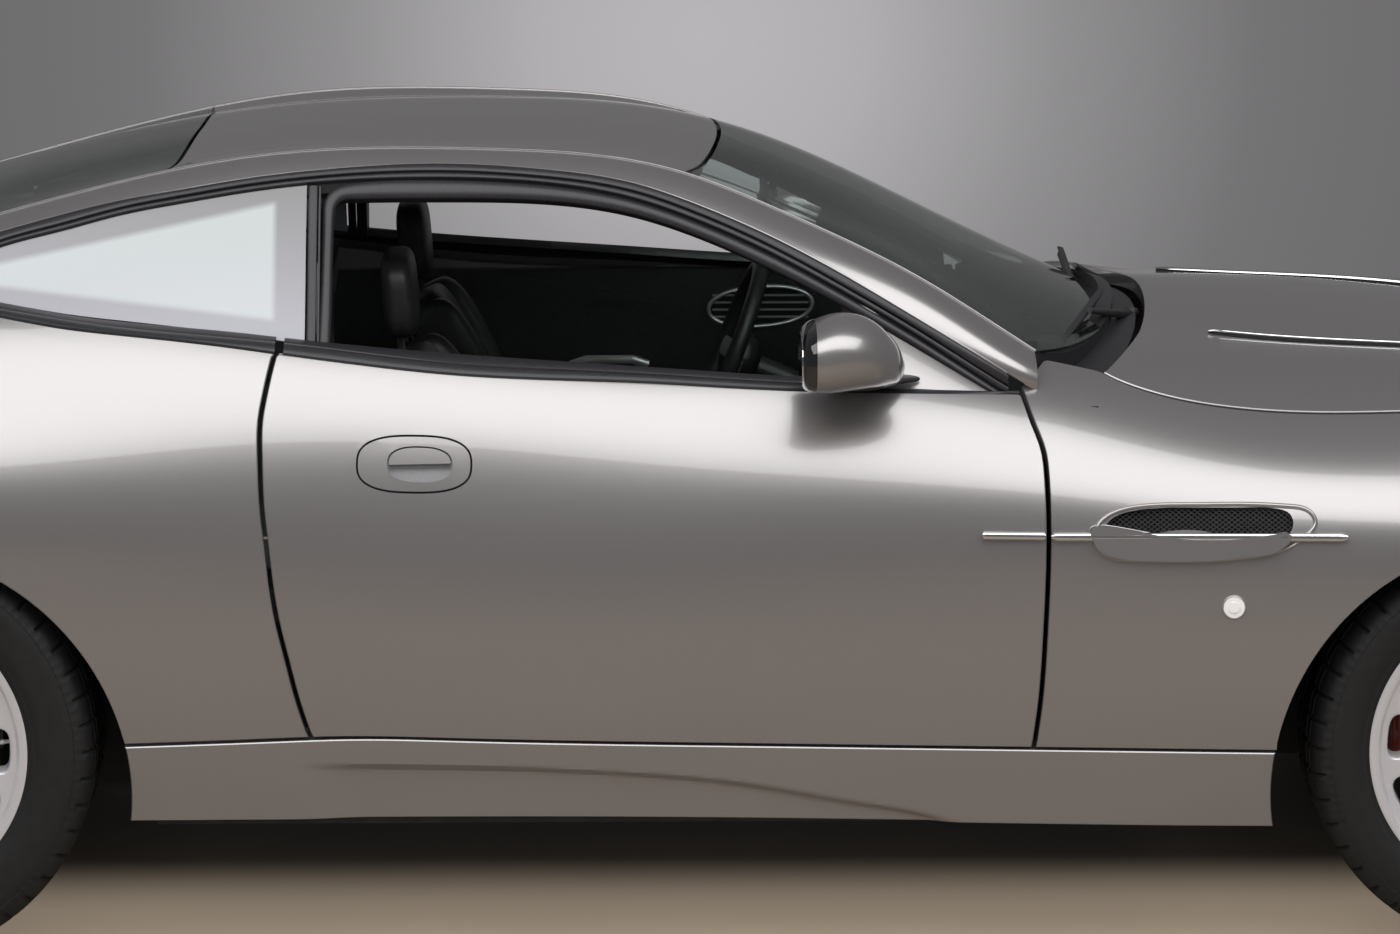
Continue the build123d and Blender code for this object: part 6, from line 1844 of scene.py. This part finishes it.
# grille: a bright frame, bowed bars and a dark sheet behind
BAR_COUNT, FIRST_BAR_Z, BAR_PITCH, BAR_HALF = 6, 384, 28, 318
bars = []
for level in range(BAR_COUNT):
    bar_z = FIRST_BAR_Z + BAR_PITCH * level
    reach = BAR_HALF - 0.0011 * (bar_z - 440) ** 2
    ys = np.linspace(-reach, reach, 41)
    path = np.stack([nose_x(ys, np.full(41, bar_z)) - 26, ys, np.full(41, float(bar_z))], axis=-1)
    bars.append(sweep(path, round_profile(16, 7, 14, 2.6)))
frame_path = on_front(closed_run(GRILLE_RUN[::4], 140), 1.0)
bars.append(sweep(np.concatenate([frame_path, frame_path[:2]]), round_profile(10, 12, 10, 2.4), (1, 0, 0)))
finish_mesh("grille_bars", *joined(*bars), "bright_trim", "body", ("grille",))
back = np.stack(np.meshgrid(np.linspace(-345, 345, 40), np.linspace(352, 560, 24), indexing="ij"), axis=-1)
back_front = np.stack([nose_x(back[..., 0], back[..., 1]) - 70, back[..., 0], back[..., 1]], axis=-1)
finish_mesh("grille_backing", *closed_shell(back_front, back_front - np.array([4, 0, 0])), "gap_black",
            "body")

# rear bumper, boot lid and the corners between them
bumper_x = REAR_BUMPER_START_X + (TAIL_END - REAR_BUMPER_START_X) * even(44, 0.4)[:, None]
seam = BUMPER_SEAM(np.linspace(0, 1, 200))
seam_z = np.interp(-bumper_x, -seam[:, 0], seam[:, 1]) - SEAM
seam_v = BODY.find(bumper_x, seam_z, 1, 0, SIDE_TOP)
share = np.linspace(0, 1, 33)[None, :]
sides = BODY.points(bumper_x, seam_v * share, -1)
rim_yz = sides[-1][None, :, 1:]
rear_y, rear_z = rim_yz[..., 0] * inward, rim_yz[..., 1] + 0 * inward
rear_face = np.stack([tail_x(rear_y, rear_z), rear_y, rear_z], axis=-1)
bumper_half = np.concatenate([sides, rear_face])
bumper_grid = np.concatenate([bumper_half, bumper_half[-2::-1] * np.array([1, -1, 1])])
finish_mesh("rear_bumper_skin", *shell(bumper_grid, 14, (-1, 0, 0), roll=0.6), "paint", "body",
            ("rear_bumper",))
LID_HALF, LID_LOW, LID_FRONT_X, LID_REAR_X, LID_FLICK = 560.0, 642.0, -1776, -2329, 10
lid_y = np.linspace(-LID_HALF, LID_HALF, 61)[None, :]
lid_x = LID_FRONT_X + (LID_REAR_X - LID_FRONT_X) * even(44, 0.2)[:, None]
lid_v = BODY.find(lid_x, np.abs(lid_y) + 0 * lid_x, 0, 400)
lid_top = BODY.points(lid_x, lid_v, 1)
lid_top[..., 1] = lid_y + 0 * lid_x
lid_top[..., 2] += smooth_step(-lid_x, 2230, -LID_REAR_X) * LID_FLICK
edge_z = lid_top[-1:, :, 2]
down = even(26, 0.2)[1:, None]
lid_z = edge_z + (LID_LOW - edge_z) * down
lid_back = np.stack([tail_x(lid_y + 0 * lid_z, lid_z), lid_y + 0 * lid_z, lid_z], axis=-1)
lid = shell(np.concatenate([lid_top, lid_back]), 16, (-0.2, 0, 1), roll=2.0)
finish_mesh("boot_lid_skin", *lid, "paint", "boot_lid", ("boot_lid",))
CORNER_Y, CORNER_Z = 567, (622, 800)
corner_z = np.linspace(*CORNER_Z, 30)[:, None]
corner_half = end_half(TAIL_END, corner_z)
corner_y = CORNER_Y + (corner_half - CORNER_Y) * np.linspace(0, 1, 14)[None, :]
corner = np.stack([tail_x(corner_y, corner_z + 0 * corner_y), -corner_y, corner_z + 0 * corner_y], axis=-1)
corner_part = shell(corner, 14, (-1, 0, 0), roll=0.6)
corners = finish_mesh("tail_corners", *joined(corner_part, mirrored(corner_part)), "paint", "body")
TAIL_LAMP_Y, TAIL_LAMP_Z, TAIL_LAMP_HALF, TAIL_LAMP_CUT = 665, 735, (92, 52), (-2420, -2170)
TAIL_RUN = {s: oval((s * TAIL_LAMP_Y, TAIL_LAMP_Z), *TAIL_LAMP_HALF, 56, 2.1) for s in (-1, 1)}
tail_lens, tail_rims, tail_backs = [], [], []
for lamp_side, outline in TAIL_RUN.items():
    cutter = turned(prism(outline, *TAIL_LAMP_CUT))
    carve(corners, cutter)
    carve(bpy.data.objects["side_frame_right_skin" if lamp_side < 0 else "side_frame_left_skin"], cutter)
    middle = outline.mean(axis=0)
    tail_lens.append(inlay(middle + (outline - middle) * 0.97, on_tail, -0.5, 4, 8))
    tail_rims.append(loop_bead(outline, on_tail, 4, 1.5, 10, 4))
    tail_backs.append(inlay(middle + (outline - middle) * 0.99, on_tail, -26, 4, 6))
finish_mesh("tail_lamp_lenses", *joined(*tail_lens), "lamp_red", "body", ("tail_lamps",))
finish_mesh("tail_lamp_rims", *joined(*tail_rims), "gap_black", "body")
finish_mesh("tail_lamp_backs", *joined(*tail_backs), "alloy", "body")
PLATE_HALF = 255
plates = joined(block((2352, -PLATE_HALF, 300), (2362, PLATE_HALF, 362), 3),
                block((-2360, -PLATE_HALF, 480), (-2351, PLATE_HALF, 590), 3))
finish_mesh("number_plates_blank", *plates, "silver_plastic", "body")
TIP_END, TIP_Y, TIP_Z = -2345, 410, 350
TIP_RUN = [(43, 0), (44, 4), (44, 150), (38, 150), (38, 6), (40, 0)]
CUP_RUN = [(52, 0), (56, 2), (56, 60), (50, 60), (48, 4)]
tips, cups = ([spun(profile, (end, TIP_Y * s, TIP_Z), (1, 0, 0), 36) for s in (-1, 1)]
              for profile, end in ((TIP_RUN, TIP_END), (CUP_RUN, TIP_END + 12)))
finish_mesh("exhaust_tips", *joined(*tips), "bright_trim", "body")
finish_mesh("exhaust_surrounds", *joined(*cups), "gap_black", "body")

# door inner halves, behind the skins
door_xz = BODY.points(door_grid[..., 0], door_grid[..., 1], -1)[..., [0, 2]]
door_middle = (door_xz.reshape(-1, 2).min(axis=0) + door_xz.reshape(-1, 2).max(axis=0)) / 2
inset_xz = door_middle + (door_xz - door_middle) * np.array([1 - 24 / 600, 1 - 24 / 300])
under_skin = np.maximum(-861.0, on_body(inset_xz)[..., 1] + 16)
outer_face = np.stack([inset_xz[..., 0], under_skin, inset_xz[..., 1]], axis=-1)
inner_face = np.stack([inset_xz[..., 0], np.full(inset_xz.shape[:2], -793.0), inset_xz[..., 1]], axis=-1)
pair("door_inner", closed_shell(outer_face[::3, ::3], inner_face[::3, ::3]), "paint", "door_{}")


# bonnet vents: a bright blade over a dark slot, either side of the raised centre
def on_bonnet(x, y, off=0.0):
    """Points on the bonnet for each x and y."""
    x, y = np.broadcast_arrays(np.asarray(x, float), np.asarray(y, float))
    z = BODY.yz(x, BODY.find(x, np.abs(y), 0, 400))[..., 1] + bonnet_lift(x, np.abs(y))
    return np.stack([x, y, z + off], axis=-1)


VENT_MID_X, VENT_HALF_X, VENT_Y = 1213, 267, -430
vent_x = np.linspace(VENT_MID_X - VENT_HALF_X, VENT_MID_X + VENT_HALF_X, 60)
along = (vent_x - VENT_MID_X) / VENT_HALF_X
vent_y = VENT_Y + 22 * along**2
taper = np.sqrt(np.clip(1 - along**4, 0.02, 1))
slot = ridge(on_bonnet(vent_x, vent_y - 17 * taper, 0.6), on_bonnet(vent_x, vent_y + 17 * taper, 0.6), 1.6,
             2, 6)
blade = ridge(on_bonnet(vent_x, vent_y - 5 * taper, 2.4), on_bonnet(vent_x, vent_y + 3 * taper, 5.0), 5, 1,
              8)
finish_mesh("bonnet_vent_slots", *both(slot), "gap_black", "bonnet")
finish_mesh("bonnet_vent_blades", *both(blade), "bright_trim", "bonnet")

# wipers: blades on the glass, arms back to their pivots
wiper_parts = []
for blade_run, knee, pivot in (
        (((665, -600, 952), (690, -520, 966), (713, -450, 977), (745, -350, 993), (775, -250, 1006)),
         (742, -400, 998), (842, -130, 958)),
        (((759, 0, 967), (760, 75, 975), (757, 150, 983), (757, 240, 995), (757, 330, 1006)),
         (770, 170, 1002), (846, 420, 944))):
    track = run(line(blade_run)(np.linspace(0, 1, 80)), 50)
    wiper_parts.append(sweep(track + (0, 0, 4), round_profile(5, 13, 10, 3), (0.3, 0, 1)))
    wiper_parts.append(sweep(track + (2, 0, 13), round_profile(12, 5, 10, 3), (0.3, 0, 1)))
    wiper_parts.append(rod(np.add(knee, (0, 0, 6)), pivot, 5, 10, 9))
    wiper_parts.append(spun([(0.3, 14), (9, 14), (14, 8), (15, -12), (0.3, -12)], pivot, (0.3, 0, 1), 24))
finish_mesh("wiper_blades_and_arms", *joined(*wiper_parts), "black_plastic", "body", ("wipers",))

# flat trays that close the nose and the tail underneath
trays = []
for tray_x in (np.linspace(1850, 2325, 24), np.linspace(-2325, -1720, 28)):
    edge = BODY.yz(tray_x, 0.0)
    across = np.linspace(-1, 1, 15)[None, :]
    tray = np.stack([tray_x[:, None] + 0 * across, (edge[:, 0] - 8)[:, None] * across,
                     (edge[:, 1] + 4)[:, None] + 0 * across],
                    axis=-1)
    trays.append(closed_shell(tray, tray + np.array([0, 0, 6])))
finish_mesh("undertrays", *joined(*trays), "underbody", "body")


# ---------------------------------------------------------------- camera, light and stage
PHOTO_WIDTH = 1400
FOCAL_PIXELS = 5080
CAMERA_AT = Vector((-0.1155, -9.0, 2.208))
CAMERA_PITCH, CAMERA_YAW = math.radians(9.72), math.radians(1.27)
camera_data = bpy.data.cameras.new("camera")
camera = bpy.data.objects.new("camera", camera_data)
bpy.context.scene.collection.objects.link(camera)
camera_data.sensor_width = 36.0
camera_data.lens = FOCAL_PIXELS / PHOTO_WIDTH * 36.0
camera_data.clip_end = 200
forward = Vector((math.sin(CAMERA_YAW) * math.cos(CAMERA_PITCH),
                  math.cos(CAMERA_YAW) * math.cos(CAMERA_PITCH),
                  -math.sin(CAMERA_PITCH)))
camera.location = CAMERA_AT
camera.rotation_euler = forward.to_track_quat("-Z", "Y").to_euler()
bpy.context.scene.camera = camera
bpy.context.scene.view_settings.view_transform = "Standard"


def area_light(name, location, target, size, power, color=(1, 1, 1)):
    """A soft rectangular lamp aimed at a point."""
    data = bpy.data.lights.new(name, "AREA")
    data.shape = "RECTANGLE"
    data.size, data.size_y = size
    data.energy = power
    data.color = color
    lamp = bpy.data.objects.new(name, data)
    lamp.location = location
    lamp.rotation_euler = (Vector(target) - Vector(location)).to_track_quat("-Z", "Y").to_euler()
    bpy.context.scene.collection.objects.link(lamp)
    return lamp


SOFTBOX_RADIANCE = 2.6
softbox_size = (9.5, 4.3)
area_light("softbox_near", (0.2, -3.4, 4.5), (0.2, -1.3, 0.9), softbox_size,
           SOFTBOX_RADIANCE * math.pi * softbox_size[0] * softbox_size[1])
fill = area_light("fill_low", (0, -9.5, 3.0), (0, 0, 0.4), (7.0, 2.0), 190)
fill.visible_glossy = False

FLOOR_REACH, FLOOR_FADE = 4.0, 2.6
# where the floor's painted pool of light lies across y, and its colour
SPILL_FROM, SPILL_TO = -1.6, -0.2
SPILL_COLOUR = (0.205, 0.165, 0.125, 1)
floor_mesh = bpy.data.meshes.new("floor")
rings = [0.0] + [0.5 * k for k in range(1, 30)]
turns = 64
floor_verts = [(0.0, 0.0, 0.0)]
floor_faces = []
for k, radius in enumerate(rings[1:]):
    floor_verts += [(1.35 * radius * math.cos(2 * math.pi * j / turns),
                     radius * math.sin(2 * math.pi * j / turns), 0.0)
                    for j in range(turns)]
for j in range(turns):
    floor_faces.append((0, 1 + j, 1 + (j + 1) % turns))
    for k in range(len(rings) - 2):
        a, b = 1 + k * turns + j, 1 + k * turns + (j + 1) % turns
        floor_faces.append((a, a + turns, b + turns, b))
floor_mesh.from_pydata(floor_verts, [], floor_faces)
floor = bpy.data.objects.new("floor", floor_mesh)
bpy.context.scene.collection.objects.link(floor)


def floor_material():
    """Worn beige concrete that fades into the studio's grey behind the car, with a painted pool of light by
    the near sill.
    """
    mat = node_material("floor", (0.235, 0.19, 0.145), 0.6, scale=3.0, spread=0.10, detail=12.0, bump=0.05)
    nodes, links = mat.node_tree.nodes, mat.node_tree.links
    shader = nodes["Principled BSDF"]
    place = nodes.new("ShaderNodeTexCoord")
    squeeze = nodes.new("ShaderNodeVectorMath")
    squeeze.operation = "MULTIPLY"
    squeeze.inputs[1].default_value = (0.74, 1.0, 1.0)
    links.new(place.outputs["Object"], squeeze.inputs[0])
    reach = nodes.new("ShaderNodeVectorMath")
    reach.operation = "LENGTH"
    links.new(squeeze.outputs[0], reach.inputs[0])
    fade = nodes.new("ShaderNodeMapRange")
    fade.interpolation_type = "SMOOTHSTEP"
    fade.inputs["From Min"].default_value = FLOOR_REACH
    fade.inputs["From Max"].default_value = FLOOR_REACH + FLOOR_FADE
    links.new(reach.outputs["Value"], fade.inputs["Value"])
    # a painted pool of light under the near sill, as emission shown to the camera only
    parts = nodes.new("ShaderNodeSeparateXYZ")
    links.new(place.outputs["Object"], parts.inputs[0])
    spill = nodes.new("ShaderNodeValToRGB")
    spill.color_ramp.interpolation = "EASE"
    span = nodes.new("ShaderNodeMapRange")
    span.inputs["From Min"].default_value, span.inputs["From Max"].default_value = SPILL_FROM, SPILL_TO
    links.new(parts.outputs["Y"], span.inputs["Value"])
    links.new(span.outputs["Result"], spill.inputs["Fac"])
    stops = spill.color_ramp.elements
    stops[0].position, stops[0].color = 0.0, (0, 0, 0, 1)
    stops[1].position, stops[1].color = 1.0, (0, 0, 0, 1)
    for position in (0.35, 0.72):
        stops.new(position).color = SPILL_COLOUR
    seen = nodes.new("ShaderNodeLightPath")
    only_seen = nodes.new("ShaderNodeMath")
    only_seen.operation = "MULTIPLY"
    links.new(seen.outputs["Is Camera Ray"], only_seen.inputs[0])
    along = nodes.new("ShaderNodeMath")
    along.operation = "ABSOLUTE"
    links.new(parts.outputs["X"], along.inputs[0])
    beside = nodes.new("ShaderNodeMapRange")
    beside.interpolation_type = "SMOOTHSTEP"
    beside.inputs["From Min"].default_value, beside.inputs["From Max"].default_value = 2.4, 1.3
    links.new(along.outputs[0], beside.inputs["Value"])
    links.new(beside.outputs["Result"], only_seen.inputs[1])
    links.new(spill.outputs["Color"], shader.inputs["Emission Color"])
    links.new(only_seen.outputs[0], shader.inputs["Emission Strength"])
    clear = nodes.new("ShaderNodeBsdfTransparent")
    mix = nodes.new("ShaderNodeMixShader")
    links.new(fade.outputs["Result"], mix.inputs["Fac"])
    links.new(shader.outputs[0], mix.inputs[1])
    links.new(clear.outputs[0], mix.inputs[2])
    links.new(mix.outputs[0], nodes["Material Output"].inputs["Surface"])
    return mat


floor_mesh.materials.append(floor_material())

world = bpy.data.worlds.new("world")
bpy.context.scene.world = world
world.use_nodes = True
world_nodes, world_links = world.node_tree.nodes, world.node_tree.links
background = world_nodes["Background"]
background.inputs["Color"].default_value = (0.50, 0.50, 0.51, 1)
shown = world_nodes.new("ShaderNodeBackground")
# the backdrop: a painted pool of light behind the roof that falls away to grey, given as a direction and a
# spread
SPOT_DIRECTION = (0.022, 0.996, -0.085)
direction = world_nodes.new("ShaderNodeTexCoord")
away = world_nodes.new("ShaderNodeVectorMath")
away.operation = "DISTANCE"
away.inputs[1].default_value = SPOT_DIRECTION
world_links.new(direction.outputs["Generated"], away.inputs[0])
wall_tone = world_nodes.new("ShaderNodeValToRGB")
# tones of the painted pool of light by distance from its middle
BACKDROP = ((0.0, 0.48), (0.03, 0.44), (0.07, 0.28), (0.11, 0.175), (0.15, 0.15), (0.30, 0.145),
            (0.7, 0.125))
ramp = wall_tone.color_ramp
ramp.elements[0].position, ramp.elements[1].position = BACKDROP[0][0], BACKDROP[-1][0]
for position, tone in BACKDROP[1:-1]:
    ramp.elements.new(position)
for element, (position, tone) in zip(ramp.elements, BACKDROP):
    element.color = (tone, tone * 0.975, tone, 1)
world_links.new(away.outputs["Value"], wall_tone.inputs["Fac"])
world_links.new(wall_tone.outputs["Color"], shown.inputs["Color"])
rays = world_nodes.new("ShaderNodeLightPath")
either = rays.outputs["Is Camera Ray"]
for kind in ("Is Glossy Ray", "Is Transmission Ray"):
    largest = world_nodes.new("ShaderNodeMath")
    largest.operation = "MAXIMUM"
    world_links.new(either, largest.inputs[0])
    world_links.new(rays.outputs[kind], largest.inputs[1])
    either = largest.outputs[0]
world_mix = world_nodes.new("ShaderNodeMixShader")
world_links.new(either, world_mix.inputs["Fac"])
world_links.new(background.outputs[0], world_mix.inputs[1])
world_links.new(shown.outputs[0], world_mix.inputs[2])
world_links.new(world_mix.outputs[0], world_nodes["World Output"].inputs["Surface"])
